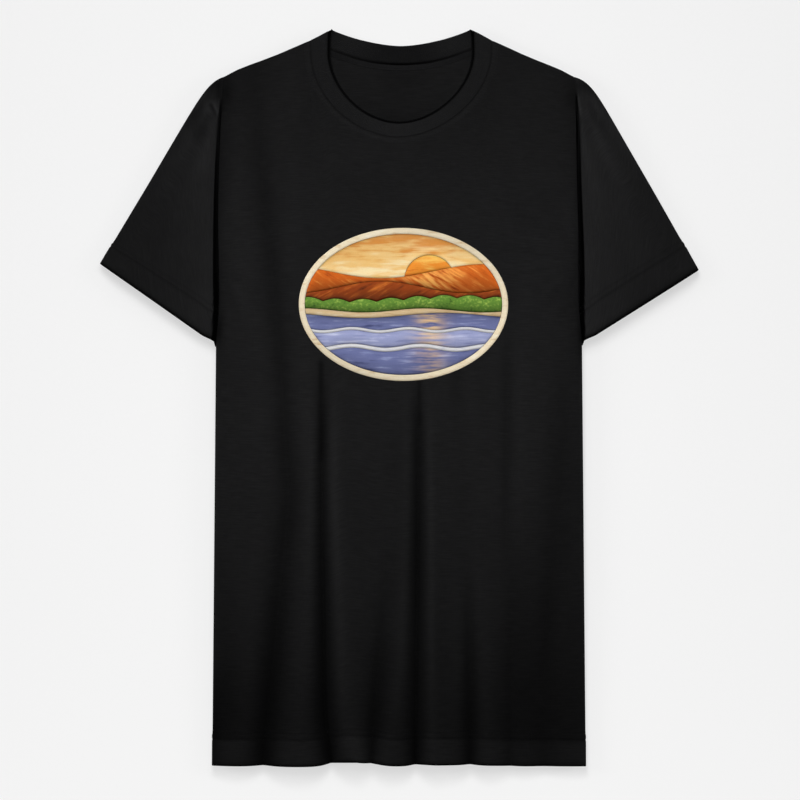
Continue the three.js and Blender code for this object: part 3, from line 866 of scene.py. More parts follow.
# Painted highlight on the front's hem band, which ends between the HEM_EDGE distances.
HEM_LIGHT, HEM_EDGE = 0.8, (24, 29)
# Painted shade in fold valleys, painted highlights on ridges and creases, and how far both go.
VALLEY_DARK, VALLEY_DEPTH = 0.58, 8
RIDGE_LIGHT, CREASE_LIGHT = 0.07, 0.08
DARKEST, LIGHTEST = -0.8, 0.5
COLLAR_ROWS = (1.5, 5)
FRONT_HEM_SEED = 17.5
# Painted streaks of shade along creases on the front.
PAINTED_FRONT_STREAKS = (
    ((-77.5, 36), (-77.5, -60), 3, -0.32),
    ((-77.5, 36), (-77.5, 8), 2.5, -0.24),
    ((20.3, 20), (20.3, -26), 2.6, -0.36),
)


class Front(Panel):
    """The front of the body."""

    def neckline(self, share: Array) -> Arrays:
        """Give the front neckline, past the rib."""
        return self.cut.front_neckline(share, self.cut.rib_width - self.cut.neck_lap)

    def hem_at(self, x: Array) -> Array:
        """Give the front hem."""
        return self.cut.hem_line(x)

    def place(self, side: Array, share: Array, turn: Array, lean: Array, y: Array) -> Array:
        """Give points of the sewn shape, which curls in under its armhole edges."""
        cut = self.cut
        half = cut.body_half(y)
        angle = turn * QUARTER * (1 + cut.tuck(y))
        over = np.minimum(angle, QUARTER)
        x_over = side * ((half - cut.side_roll) * share + cut.side_roll * np.sin(over) + lean)
        under = np.maximum(angle - QUARTER, 0)
        x_under = side * (half - cut.tuck_in * (1 - np.cos(under)))
        is_under = angle > QUARTER
        x = np.where(is_under, x_under, x_over)
        z_over = cut.front_height(x_over, y, np.cos(over))
        z_under = cut.front_edge_height(y) - cut.tuck_down * np.sin(under)
        return np.stack([x, y, np.where(is_under, z_under, z_over)], axis=2)

    def thicken(self, sheet: Sheet, from_hem: Array, from_top: Array) -> Sheet:
        """Give the front its thickness, its puffed hem and its rounded edges."""
        cut = self.cut
        along = sheet.points[..., 0]
        relief = self.hem.relief(from_hem, along, FRONT_HEM_SEED)
        edges = self.edges(from_hem, from_top)
        ends = np.ones(len(edges))
        ends[[0, -1]], ends[[1, -2]] = 0.35, 0.85
        middle = -cut.cloth * 0.5
        thick_out = (relief - middle) * edges * ends[:, None]
        layers = cut.cloth * (0.5 + self.hem.depth(from_hem))
        return replace(sheet, out=middle + thick_out, back=-middle + layers * edges * ends[:, None])

    def fade(self, sheet: Sheet, from_hem: Array, from_top: Array) -> Array:
        """Give the painted light and shade: painted highlights on the ridges and the chest, painted
        shade in the valleys and towards the hem.
        """
        cut = self.cut
        x, y, z = np.moveaxis(sheet.points, 2, 0)
        # Painted light down the front: lighter on the chest, painted shade towards the hem.
        tone = soft_line(y, PAINTED_FRONT_LIGHT_PLACES, PAINTED_FRONT_LIGHT)
        # Painted shade in the lower corner on the wearer's right.
        tone = tone * (1 - 0.3 * smoothstep(-y, 230, 320) * smoothstep(-x, 140, 175))
        # Painted highlight on the hem band, then painted shade along its fold and stitches.
        tone = lerp(HEM_LIGHT, tone, smoothstep(from_hem, *HEM_EDGE))
        tone = painted_hem_shade(self.hem, tone, from_hem)
        # Painted light and shade beside each side edge.
        from_side = cut.body_half(y) - np.abs(x)
        left, right = (PAINTED_SIDE_LIGHT[side].at(from_side, y, cut.tip_y) for side in Side)
        tone = tone * np.where(x < 0, right, left)
        # Painted shade in the collar seam, with a painted highlight just outside it.
        seam = cut.past_collar(x, y)
        tone = tone * (1 + 0.2 * bell((seam - 3.4) / 1.8) - 0.25 * bell(seam / 1.1))
        # Painted highlight on the hem band towards the wearer's left.
        tone = tone * (1 + 0.28 * smoothstep(x, 80, 125) * (1 - smoothstep(from_hem, 20, 26)))
        # Painted black shade under the front's curled armhole edge.
        curled = cut.front_edge_height(y) - z
        tone = tone * (1 - 0.95 * cut.tuck(y) * smoothstep(curled, 0.1, 2))
        # Painted shade in fold valleys, painted highlights on ridges, and painted streaks along
        # creases.
        return tone * self.painted_fold_light(x, y, from_hem) * painted_streak_light(PAINTED_FRONT_STREAKS, x, y) - 1

    def painted_fold_light(self, x: Array, y: Array, from_hem: Array) -> Array:
        """Give painted shade in the valleys of the folds and creases, and painted highlights on their
        ridges.
        """
        folds, creases = self.cut.fold_height(x, y), self.cut.creases(x, y)
        valleys = -VALLEY_DARK * (1 - np.exp(np.minimum(folds, 0) / VALLEY_DEPTH))
        valleys = valleys * (1.35 - 0.35 * smoothstep(from_hem, 22, 30))
        relief = valleys + RIDGE_LIGHT * np.maximum(folds, 0) + CREASE_LIGHT * creases
        return 1 + np.clip(relief, DARKEST, LIGHTEST)

    def collar_rows(self) -> Rows:
        """Give the paths of the two rows of stitches round the front of the collar."""
        share = np.linspace(-0.98, 0.98, 241)
        rows = []
        for away in COLLAR_ROWS:
            x, y = self.cut.front_neckline(np.abs(share), self.cut.rib_width + away)
            rows.append(self.cut.on_front(np.sign(share) * x, y))
        return rows


BODY_LIFT, YOKE_LIFT = 1.1, 0.7


class Back(Panel):
    """The back of the body, which lies on the floor."""

    def neckline(self, share: Array) -> Arrays:
        """Give the back neckline, past the rib."""
        return self.cut.back_neckline(share, self.cut.rib_width - self.cut.neck_lap)

    def hem_at(self, x: Array) -> Array:
        """Give the back hem."""
        return np.full(x.shape, self.cut.hem_y + 1)

    def place(self, side: Array, share: Array, turn: Array, lean: Array, y: Array) -> Array:
        """Give points of the sewn shape."""
        cut = self.cut
        angle = turn * QUARTER
        flat = (cut.back_half(y) - cut.back_side_roll) * share
        x = side * (flat + cut.back_side_roll * np.sin(angle) + lean)
        body = (1 + ripple(x, y, 34, 60, 5.5)) * (1 - turn) * smoothstep(y, -330, -250)
        yoke = (1 + ripple(x - y, x + y, 13, 60, 1.9)) * smoothstep(y, 200, 250)
        lift = BODY_LIFT * body + YOKE_LIFT * yoke
        z = cut.back_height(x, y, 1 - np.cos(angle))
        shoulder = round_off(cut.shoulder_distance(x, y), cut.back_shoulder_roll)
        return np.stack([x, y, z + lift * shoulder], axis=2)

    def thicken(self, sheet: Sheet, from_hem: Array, from_top: Array) -> Sheet:
        """Give the back its thickness inwards, so that its underside stays on the floor."""
        edges = self.edges(from_hem, from_top)
        half = self.cut.cloth * (1 + self.hem.depth(from_hem)) / 2
        return replace(sheet, out=-half * (1 - edges), back=half * (1 + edges))

    def fade(self, sheet: Sheet, from_hem: Array, from_top: Array) -> Array:
        """Give the painted shade: darkest below the middle of the neck and along the seam at its top.
        """
        # Painted shade below the middle of the neck, a painted shadow line along the top seam, the
        # rest drawn a little lighter.
        middle = bell(sheet.points[..., 0] / 48)
        seam = (0.6 + 0.3 * middle) * bell((from_top - 0.8) / (1 + 0.5 * middle))
        return 0.14 - seam - (0.24 + 0.1 * bell((from_top - 15) / 9)) * middle


# ---- Sleeves ---------------------------------------------------------------------------------


@dataclass(frozen=True)
class SleeveCut:
    """Sizes of a sleeve, in millimetres."""

    tip: Pair = (299.6, 127.8)
    inner: Pair = (180.8, 52.5)
    head: float = 11.9
    bow: float = 0.3
    crown: float = 26
    hem_crown: float = 23
    edge_height: float = 12
    inner_edge_height: float = 5.5
    outer_roll: float = 34
    inner_roll: float = 26
    inner_wall: float = 7
    # The gap beside the front at each height, where the sleeve rises and is painted black as shadow;
    # gap_top is where that painted shadow ends.
    gap_heights: Values = (50, 88, 148, 218, 250, 275, 294, 306)
    gap_widths: Values = (2, 5.7, 5.4, 4.4, 4.1, 3.4, 2.6, 0.8)
    gap_top: Pair = (299, 310)
    tip_rise: float = 12
    hem_scale: Pair = (1.18, 1.2)
    # The painted light of the whole sleeve, and the painted shade at its outer end.
    lightness: float = 1.12
    outer_dark: float = 0.06
    # Painted streaks of shade and highlight near the sleeve head.
    strokes: tuple = (
        ((178.2, 302), (182, 285), 1.4, 0.5),
        ((192, 314), (178, 312), 9, -0.48),
        ((188, 298), (198, 278), 12, -0.17),
    )
    front_columns: int = 84
    back_columns: int = 38
    root_rows: int = 22
    middle_rows: int = 54
    middle_power: float = 1.4
    wall_power: float = 0.7
    least_reach: float = 12
    risen_range: Pair = (0.02, 0.35)
    head_share: float = 0.055


SLEEVES = {
    Side.LEFT: SleeveCut(),
    Side.RIGHT: SleeveCut(
        tip=(299.9, 134.2),
        inner=(180.8, 51.2),
        head=9.8,
        bow=0.2,
        gap_widths=(3.8, 5.6, 5.4, 4.4, 3.9, 2.7, 1.9, 0.6),
        gap_top=(290, 300),
        hem_scale=(0.87, 1.17),
        lightness=1.0,
        outer_dark=0.04,
        # Painted streaks of shade and highlight near this sleeve head.
        strokes=(
            ((185, 296), (180.8, 284), 1.4, 0.6),
            ((188, 293), (182.8, 284), 1.5, -0.5),
            ((195, 300), (188, 286), 4, 0.2),
            ((181, 320), (178, 303), 8, -0.4),
            ((197, 307), (184, 318), 9, -0.5),
            ((209, 298), (200, 264), 8, -0.22),
            ((190, 296), (196, 272), 12, -0.18),
            ((179.5, 312), (179.5, 301), 3, -0.34),
        ),
    ),
}
# The sleeve is painted near black by GAP_DARK, as shadow in the gap beside the front; GAP_BLUR
# softens that painted shadow's edges and narrows the sleeve's rise.
GAP_BLUR, GAP_DARK = 0.6, 0.985
UNDERARM_LAP = 0.25
SLEEVE_HEM = Hem(
    turned=30,
    dark=3.0,
    rows=(23.5, 28.5),
    places=(0, 0.15, 0.5, 1, 2, 4, 7, 10, 13, 16, 18.5, 20.5, 22, 22.8, 23.5, 24.2, 25.2, 26.5,
            27.7, 28.5, 29.3, 30.2, 31.5, 33.5),
)


class Sleeve:
    """A short sleeve, sewn into the armhole under the front's curled edge."""

    def __init__(self, cut: Cut, side: Side) -> None:
        """Keep the sleeve's sizes."""
        self.cut, self.side, self.sizes, self.hem = cut, side, SLEEVES[side], SLEEVE_HEM

    def root(self, y: Array, on_front: Array) -> Arrays:
        """Give where the sleeve is sewn in, across and up, on its front and its back."""
        cut = self.cut
        under = QUARTER * cut.tuck(y)
        gap = cut.seam_gap * (1 - cut.tuck(y) - 1.7 * cut.flush(y))
        front_x = cut.body_half(y) + gap - cut.tuck_in * (1 - np.cos(under))
        front_z = cut.front_edge_height(y) - cut.tuck_down * np.sin(under) - cut.seam_gap
        back_x = cut.back_half(y) + cut.seam_gap
        back_z = cut.back_height(back_x, y, 1.0)
        return np.where(on_front, front_x, back_x), np.where(on_front, front_z, back_z)

    def sheet(self) -> Sheet:
        """Lay out the sleeve as a ring, with its thickness and its painted light and shade."""
        cut, sizes = self.cut, self.sizes
        middle, half = (cut.tip_y + cut.underarm_y) / 2, (cut.tip_y - cut.underarm_y) / 2
        front = middle + half * np.cos(np.linspace(0, math.pi, sizes.front_columns + 1))
        back = middle - half * np.cos(np.linspace(0, math.pi, sizes.back_columns + 1)[1:-1])
        y = np.concatenate([front, back])[:, None]
        on_front = (np.arange(len(y)) <= sizes.front_columns)[:, None]
        across = (cut.tip_y - y) / (cut.tip_y - cut.underarm_y)
        root_x, root_z = self.root(y, on_front)
        hem_x, hem_y = (lerp(a, b, across) for a, b in zip(sizes.tip, sizes.inner))
        shrink = lerp(*sizes.hem_scale, across) / np.hypot(hem_x - root_x, hem_y - y)
        along, rise = self.rows(y, root_x, hem_x - root_x, shrink)

        bow_x, bow_y = self.bow(along, across)
        x = lerp(root_x, hem_x, along) + bow_x
        plan_y = lerp(y, hem_y, along) + bow_y
        at_underarm = smoothstep(across, 0.86, 1) * smoothstep(along, 0, 0.1)
        x = lerp(x, cut.body_half(plan_y) - UNDERARM_LAP, at_underarm)
        creases = self.creases(x, plan_y, along, across)
        lying = self.heights(along, across, creases, on_front)
        points = np.stack([self.side.value * x, plan_y, lerp(root_z, lying, rise)], axis=2)
        from_hem = (1 - along) / shrink
        sheet = self.thicken(points, from_hem, on_front)
        # Painted black shadow in the gap beside the front.
        painted_gap_shadow = 1 - GAP_DARK * np.where(on_front, self.hidden(x, plan_y), 0)
        # Painted light and shade following the sleeve's creases, and painted streaks.
        relief = (1 + 0.1 * creases) * painted_streak_light(sizes.strokes, x, plan_y)
        sheet = replace(sheet, fade=self.tone(x, from_hem) * painted_gap_shadow * relief - 1)
        if self.side is Side.RIGHT:
            sheet = Sheet(points[::-1], sheet.out[::-1], sheet.back[::-1], True, sheet.fade[::-1])
        return sheet

    def rows(self, y: Array, root_x: Array, reach: Array, shrink: Array) -> Arrays:
        """Lay out the rows from the armhole to the hem.

        Args:
            y: the places along the armhole.
            root_x: where the sleeve is sewn in there, across.
            reach: how far its hem lies from there, across.
            shrink: the share of its length that one millimetre of the hem's rows takes.

        Returns:
            For each row, its share of the length, and the share by which it has risen by then.
        """
        cut, sizes = self.cut, self.sizes
        seam_x = cut.body_half(y) - root_x
        width = soft_line(y, sizes.gap_heights, sizes.gap_widths) - GAP_BLUR
        width = lerp(width, sizes.tip_rise, smoothstep(y, cut.tip_y - 22, cut.tip_y - 6))
        risen = (seam_x + width) / np.maximum(reach, sizes.least_reach)
        risen = np.clip(risen, *sizes.risen_range)
        root_share = np.linspace(0, 1, sizes.root_rows + 1)
        middle_share = np.linspace(0, 1, sizes.middle_rows + 1)[1:-1] ** sizes.middle_power
        hem_share = 1 - np.array(self.hem.places)[::-1] * shrink
        middle = lerp(risen, hem_share[:, :1], middle_share)
        along = np.concatenate([root_share * risen, middle, hem_share], axis=1)
        steep = wall_up(root_share, np.maximum(seam_x - 1, 0) / (seam_x + width), 1)
        level = np.ones((len(y), along.shape[1] - len(root_share)))
        return along, np.concatenate([steep**sizes.wall_power, level], axis=1)

    def bow(self, along: Array, across: Array) -> Array:
        """Give how far the sleeve's outer side bows out, across and along the shirt."""
        cut, sizes = self.cut, self.sizes
        outer = 1 - across
        far = sizes.head * (1 - along) * (1 - np.exp(-along / sizes.head_share)) * outer**3
        far = far + sizes.bow * np.sin(math.pi * along) ** 0.7 * outer**2
        outward = np.array([cut.tip_y - sizes.tip[1], sizes.tip[0] - cut.shoulder_half])
        return far * (outward / np.linalg.norm(outward))[:, None, None]

    def heights(self, along: Array, across: Array, creases: Array, on_front: Array) -> Array:
        """Give the sleeve's height where it lies free of the armhole."""
        cut, sizes = self.cut, self.sizes
        width = lerp(cut.tip_y - cut.underarm_y, math.dist(sizes.tip, sizes.inner), along)
        inward = (1 - across) * width
        wall = wall_up(inward, 0, sizes.inner_wall)
        rounded = round_off(across * width, sizes.outer_roll)
        rounded = rounded * lerp(wall, round_off(inward, sizes.inner_roll), 0.4)
        free_edge = lerp(sizes.edge_height, sizes.inner_edge_height, across**2)
        edge = lerp(cut.edge_height - cut.seam_gap, free_edge, smoothstep(along, 0, 0.6))
        crown = lerp(sizes.crown, sizes.hem_crown, along) + creases
        return np.where(on_front, edge + (crown - edge) * rounded, edge * (1 - rounded))

    def hidden(self, x: Array, y: Array) -> Array:
        """Give 1 in the gap beside the front, where no light reaches the sleeve, and 0 past it."""
        past = x - self.cut.body_half(y)
        gap = soft_line(y, self.sizes.gap_heights, self.sizes.gap_widths)
        in_gap = 1 - smoothstep(past, gap - GAP_BLUR, gap + GAP_BLUR)
        return in_gap * (1 - smoothstep(y, *self.sizes.gap_top))

    def creases(self, x: Array, y: Array, along: Array, across: Array) -> Array:
        """Give the sleeve's soft folds, which fan out from its head, and its unevenness."""
        seed = 4.0 + self.side.value
        from_head = np.hypot(x - self.cut.shoulder_half, y - self.cut.tip_y)
        angle = np.arctan2(x - self.cut.shoulder_half + 12, self.cut.tip_y + 12 - y)
        fan = 5.0 * bell((from_head - 40) / 80) * ripple(angle, from_head, 0.15, 260, seed)
        pocket = 2.2 * bell((from_head - 30) / 22) * ripple(x, y, 7, 15, seed + 3)
        broad = 0.9 * ripple(x, y, 32, 38, seed + 7) + 0.25 * ripple(x, y, 12, 12, seed + 11)
        return (fan + pocket + broad) * smoothstep(along, 0.02, 0.15)

    def thicken(self, points: Array, from_hem: Array, on_front: Array) -> Sheet:
        """Give the sleeve its thickness, its hem and its rounded edge."""
        cloth = self.cut.cloth
        sheet = Sheet(points, np.zeros(from_hem.shape), np.zeros(from_hem.shape), ring=True)
        around = sheet.flat_places()[:-1, :, 0]
        edges = edge_round(from_hem, EDGE_RADIUS)
        relief = self.hem.relief(from_hem, around, 21.0 + self.side.value)
        relief = np.where(on_front, relief, np.minimum(relief, 0))
        middle = -cloth * 0.5
        layers = cloth * (0.5 + self.hem.depth(from_hem))
        return replace(sheet, out=middle + (relief - middle) * edges, back=-middle + layers * edges)

    def tone(self, x: Array, from_hem: Array) -> Array:
        """Give the painted light and shade: a painted highlight beside the armhole, painted shade
        towards the outer end and along the hem.
        """
        outward = x - self.cut.chest_half
        tone = 1.26 - 0.3 * smoothstep(outward, 5, 75) + 0.15 * bell((outward - 6) / 14)
        tone = tone - self.sizes.outer_dark * smoothstep(outward, 45, 110)
        return painted_hem_shade(self.hem, tone * self.sizes.lightness, from_hem)

    def hem_rows(self, sheet: Sheet) -> Rows:
        """Give the paths of the hem's two rows of stitches."""
        path, normals = sunk(sheet, 0.1), sheet.normals()
        rows = [-1 - self.hem.places.index(row) for row in self.hem.rows]
        close = lambda grid, j: np.concatenate([grid[:, j], grid[:1, j]])
        return [(close(path, j), close(normals, j)) for j in rows]


# ---- Collar ----------------------------------------------------------------------------------


@dataclass(frozen=True)
class RibCut:
    """Sizes of the collar rib, in millimetres."""

    thickness: float = 1.9
    bulge: float = 0.75
    edge_lift: float = 1.5
    lip: float = 9
    lip_width: float = 3.6
    back_lift: float = 0.7
    rib: float = 1.9
    relief: float = 0.3
    # Where, from the seam, the painted black shadow line along the front's free edge starts.
    dark_from: float = 12.6
    per_rib: int = 5
    rows: Values = (
        0, 0.05, 0.2, 0.5, 1.0, 2.5, 4.5, 6.5, 8.5, 10.5, 11.8, 12.8, 13.5, 14.1, 14.7, 15.2, 15.5,
        15.75, 15.9, 16,
    )


class Collar:
    """The rib round the neck, folded double."""

    def __init__(self, cut: Cut, sizes: RibCut = RibCut()) -> None:
        """Keep the collar's sizes."""
        self.cut, self.sizes = cut, sizes

    def neckline(self, share: Array, on_front: bool, across: Array) -> Array:
        """Give points of the rib's sewn shape.

        Args:
            share: signed shares, from the middle to the shoulders.
            on_front: whether it is the front or the back.
            across: 0 at the seam and 1 at the free edge.

        Returns:
            The points, by share and then across.
        """
        cut, sizes = self.cut, self.sizes
        columns = []
        for each in across:
            line = cut.front_neckline if on_front else cut.back_neckline
            x, y = line(np.abs(share), cut.rib_width * (1 - each))
            if on_front:
                edge = round_off(cut.shoulder_distance(x, y), cut.shoulder_roll)
                near = np.clip(1 - cut.rib_width * (1 - each) / sizes.lip_width, 0, 1)
                lift = sizes.edge_lift * each - sizes.lip * near**2
                z = cut.front_height(np.sign(share) * x, y) + lift * edge
            else:
                z = np.maximum(cut.back_height(x, y), sizes.back_lift)
            columns.append(np.stack([np.sign(share) * x, y, z], axis=1))
        return np.stack(columns, axis=1)

    def ring(self, across: Array) -> Arrays:
        """Lay out columns spaced evenly round the rib.

        Args:
            across: 0 at the seam and 1 at the free edge.

        Returns:
            The points, by column and then across, and 1 for columns on the front.
        """
        fine = np.linspace(-1, 1, 1601)
        front = self.neckline(fine, True, across)[:-1]
        back = self.neckline(fine[::-1], False, across)[:-1]
        closed = np.concatenate([front, back, front[:1]])
        reach = reaches(closed[:, len(across) // 2])
        count = round(reach[-1] / self.sizes.rib) * self.sizes.per_rib
        even = np.arange(count) * reach[-1] / count
        points = [read_path(even, reach, closed[:, j]) for j in range(len(across))]
        is_front = np.concatenate([np.ones(len(front)), np.zeros(len(back)), [1]])
        return np.stack(points, axis=1), np.interp(even, reach, is_front)[:, None]

    def sheet(self) -> Sheet:
        """Lay out the rib, with its thickness, its grooves and its painted light and shade."""
        sizes = self.sizes
        distance = np.array(sizes.rows)
        share = distance / self.cut.rib_width
        points, on_front = self.ring(share)
        half = sizes.thickness / 2
        free = edge_round(self.cut.rib_width - distance, half)
        edges = free * edge_round(distance, 0.5, 0.3)
        wave = 0.5 - 0.5 * np.cos(2 * math.pi * np.arange(len(points)) / sizes.per_rib)
        grooves = sizes.relief * (wave[:, None] - 1) * smoothstep(distance, 0.2, 2.5)
        crown = sizes.bulge * np.sin(math.pi * share) + grooves
        out, back = (half + crown) * edges - half, (half + grooves) * edges + half
        fade = self.fade(np.abs(points[:, :1, 0]), on_front)
        return Sheet(points, out, back, True, fade)

    def fade(self, from_middle: Array, on_front: Array) -> Array:
        """Give the painted light and shade: a painted black line at the front's free edge, painted
        shade along the seams, the front drawn lighter and the back darker except near its tips.
        """
        distance = np.array(self.sizes.rows)
        fold = distance - self.sizes.dark_from + 0.45 * bell(from_middle / 50)
        at_front = (1.16 + 0.22 * bell(from_middle / 45)) * (1 - 0.99 * smoothstep(fold, 0, 0.6))
        at_front = at_front - 1 - 0.15 * bell(distance / 0.8)
        at_tips = smoothstep(from_middle, 15, 76)
        at_back = (-0.2 + 0.6 * at_tips) * smoothstep(distance, 0.5, 2)
        at_back = at_back - (0.85 - 0.45 * at_tips) * bell(distance / 1.1)
        return lerp(at_back, at_front, on_front)


@dataclass(frozen=True)
class NeckTape:
    """The tape over the seam inside the back neck, in millimetres."""

    cut: Cut
    width: float = 5.4
    half: float = 75
    below: float = 1.9
    thickness: float = 0.6
    lift: float = 0.12
    columns: int = 60
    rows: Values = (0, 0.08, 0.3, 0.7, 1, 1.7, 2.7, 3.7, 4.4, 4.7, 5.1, 5.32, 5.4)
    sewn: Pair = (1, 4.4)

    def sheet(self, back: Back) -> Sheet:
        """Lay out the tape over the back's inner face."""
        cut = self.cut
        x = np.linspace(-self.half, self.half, self.columns + 1)
        widen = cut.rib_width - cut.neck_lap
        seam = cut.back_neckline(np.abs(x) / (cut.neck_half + widen * cut.end_flare), widen)[1]
        rows = np.array(self.rows)
        y = seam[:, None] - self.below - self.width + rows
        x = np.broadcast_to(x[:, None], y.shape)
        blank = np.zeros(y.shape)
        flat = cut.back_half(y) - cut.back_side_roll
        points = back.place(np.sign(x), np.abs(x) / flat, blank, blank, y)
        distance = np.minimum(rows, self.width - rows)
        edges = edge_round(distance, 0.3, 0.2)[None, :]
        groove = 0.2 * bell((distance - 1) / 0.5)[None, :]
        low = cut.cloth + self.lift
        return Sheet(points, low + (self.thickness - groove) * edges, blank - low)

    def stitch_rows(self, sheet: Sheet) -> Rows:
        """Give the paths of the stitches near the tape's two edges."""
        path, normals = sunk(sheet, 0.05), sheet.normals()
        rows = [self.rows.index(row) for row in self.sewn]
        return [(path[:, j], normals[:, j]) for j in rows]


# ---- Chest print -----------------------------------------------------------------------------


@dataclass(frozen=True)
class Wave:
    """A wavy line across the picture, in millimetres from its middle."""

    height: float
    swell: float
    length: float
    start: float = 0

    def __call__(self, x: Array) -> Array:
        """Give the line's height."""
        return self.height + self.swell * np.sin(x / self.length + self.start)


@dataclass(frozen=True)
class Badge:
    """The print's place and the lines of its landscape, in millimetres from its middle.

    Each wave in the water has its lower edge, and its foam's upper one. shore_line is the water's
    far edge, meadow is the foot of the trees, and the hills are given by their tops.
    """

    centre: Pair = PRINT_MIDDLE
    half_width: float = 104
    half_height: float = 76
    border: float = 6
    gap: float = 0.12
    film: float = 0.16
    lift: float = 0.08
    sun: Triple = (26, 24, 25)
    near_wave: Wave = Wave(-45, 2, 11)
    near_foam: Wave = Wave(-41, 2, 11)
    far_wave: Wave = Wave(-27, 1.6, 9, 1)
    far_foam: Wave = Wave(-24, 1.6, 9, 1)
    shore_line: Wave = Wave(-11, 2.5, 26)
    meadow: Wave = Wave(-6, 2, 19, 0.5)
    near_hills: Wave = Wave(17, 6, 27, 2.4)
    far_hills: Wave = Wave(33, 7, 33, -0.9)
    column: float = 1.0
    row: float = 2.4

    def oval(self, x: Array) -> Array:
        """Give half the height of the picture inside its border."""
        inside = 1 - (x / (self.half_width - self.border)) ** 2
        return (self.half_height - self.border) * np.sqrt(np.maximum(inside, 0))

    def tree_tops(self, x: Array) -> Array:
        """Give the tops of the trees."""
        return 4 + 3.4 * np.abs(np.sin(x / 8.5)) + 2 * np.sin(x / 30)

    def sun_top(self, x: Array, wider: float = 0) -> Array:
        """Give the top of the sun, and its middle height to either side of it."""
        across, middle, radius = self.sun
        return middle + np.sqrt(np.maximum((radius + wider) ** 2 - (x - across) ** 2, 0))

    def sky_foot(self, x: Array) -> Array:
        """Give the lower edge of the sky, over the hills and round the sun."""
        return np.maximum(self.far_hills(x), self.sun_top(x, self.gap))

    def fields(self) -> dict[str, tuple[str, Line, Line, float]]:
        """Give each field's ink, its lower and upper lines, and how much its top is lit."""
        low: Line = lambda x: np.full(np.shape(x), -self.half_height)
        high: Line = lambda x: np.full(np.shape(x), self.half_height)
        return {
            "print_water_near": ("slate", low, self.near_wave, 0.5),
            "print_wave_near": ("foam", self.near_wave, self.near_foam, 0.2),
            "print_water_middle": ("lavender", self.near_foam, self.far_wave, 0.4),
            "print_wave_far": ("foam", self.far_wave, self.far_foam, 0.2),
            "print_water_far": ("slate", self.far_foam, self.shore_line, -0.4),
            "print_shore": ("sand", self.shore_line, self.meadow, 0.2),
            "print_trees": ("leaf", self.meadow, self.tree_tops, 0.9),
            "print_near_hills": ("umber", self.tree_tops, self.near_hills, 1.1),
            "print_far_hills": ("rust", self.near_hills, self.far_hills, 0.9),
            "print_sun": ("sun", self.far_hills, self.sun_top, 0.3),
            "print_sky": ("sky", self.sky_foot, high, -0.2),
        }


class Print:
    """The ink on the chest, as thin films that follow the cloth."""

    def __init__(self, cut: Cut, badge: Badge = Badge()) -> None:
        """Keep the print's sizes."""
        self.cut, self.badge = cut, badge

    def on_cloth(self, x: Array, y: Array) -> Array:
        """Give points of the front at places from the middle of the print."""
        across, along = self.badge.centre
        x, y = x + across, y + along
        return np.stack([x, y, self.cut.front_height(x, y)], axis=2)

    def film(self, points: Array, fade: Array, ring: bool = False) -> Sheet:
        """Give a film of ink over points of the cloth."""
        whole = np.ones(points.shape[:2])
        top, low = self.badge.lift + self.badge.film, self.badge.lift
        return Sheet(points, top * whole, -low * whole, ring, fade)

    def field_sheet(self, lower: Line, upper: Line, lit: float) -> Sheet:
        """Lay out the part of the oval between two lines.

        Args:
            lower: the field's lower line.
            upper: its upper line.
            lit: how much lighter the wash is at the top than at the foot.

        Returns:
            The film's sheet.
        """
        badge = self.badge
        half = badge.half_width - badge.border - badge.gap
        bottom = lambda x: np.maximum(lower(x), -badge.oval(x)) + badge.gap / 2
        top = lambda x: np.minimum(upper(x), badge.oval(x)) - badge.gap / 2
        fine = np.linspace(-half, half, 4001)
        wide = fine[top(fine) - bottom(fine) > 0.25]
        first, last = wide[0], wide[-1]
        inside = np.arange(math.ceil(first + 0.3), last - 0.3, badge.column)
        x = np.concatenate([[first], inside, [last]])
        low, high = bottom(x), np.maximum(top(x), bottom(x) + 0.05)
        rows = max(2, math.ceil((high - low).max() / badge.row))
        share = np.linspace(0, 1, rows + 1)
        low, high, side = (each[:, None] for each in (low, high, badge.oval(x) / 6))
        y = lerp(low, high, share)
        to_edge = np.minimum(np.minimum(y - low, high - y), side)
        fade = lit * (share - 0.5) - 0.3 * bell(to_edge / 1.6)
        return self.film(self.on_cloth(np.broadcast_to(x[:, None], y.shape), y), fade)

    def border_sheet(self) -> Sheet:
        """Lay out the border as a ring."""
        badge = self.badge
        angle = np.linspace(0, 2 * math.pi, 241)[:-1, None]
        inset = (badge.border - badge.gap) * (1 - np.linspace(0, 1, 4))[None, :]
        x = -(badge.half_width - inset) * np.cos(angle)
        y = (badge.half_height - inset) * np.sin(angle)
        fade = np.broadcast_to(0.1 * np.sin(2 * angle + 0.6), y.shape)
        return self.film(self.on_cloth(x, y), fade, ring=True)


# ---- Shader nodes ----------------------------------------------------------------------------


Socket = bpy.types.NodeSocket
Value = Union[float, Socket]
Place = tuple[Socket, Socket]


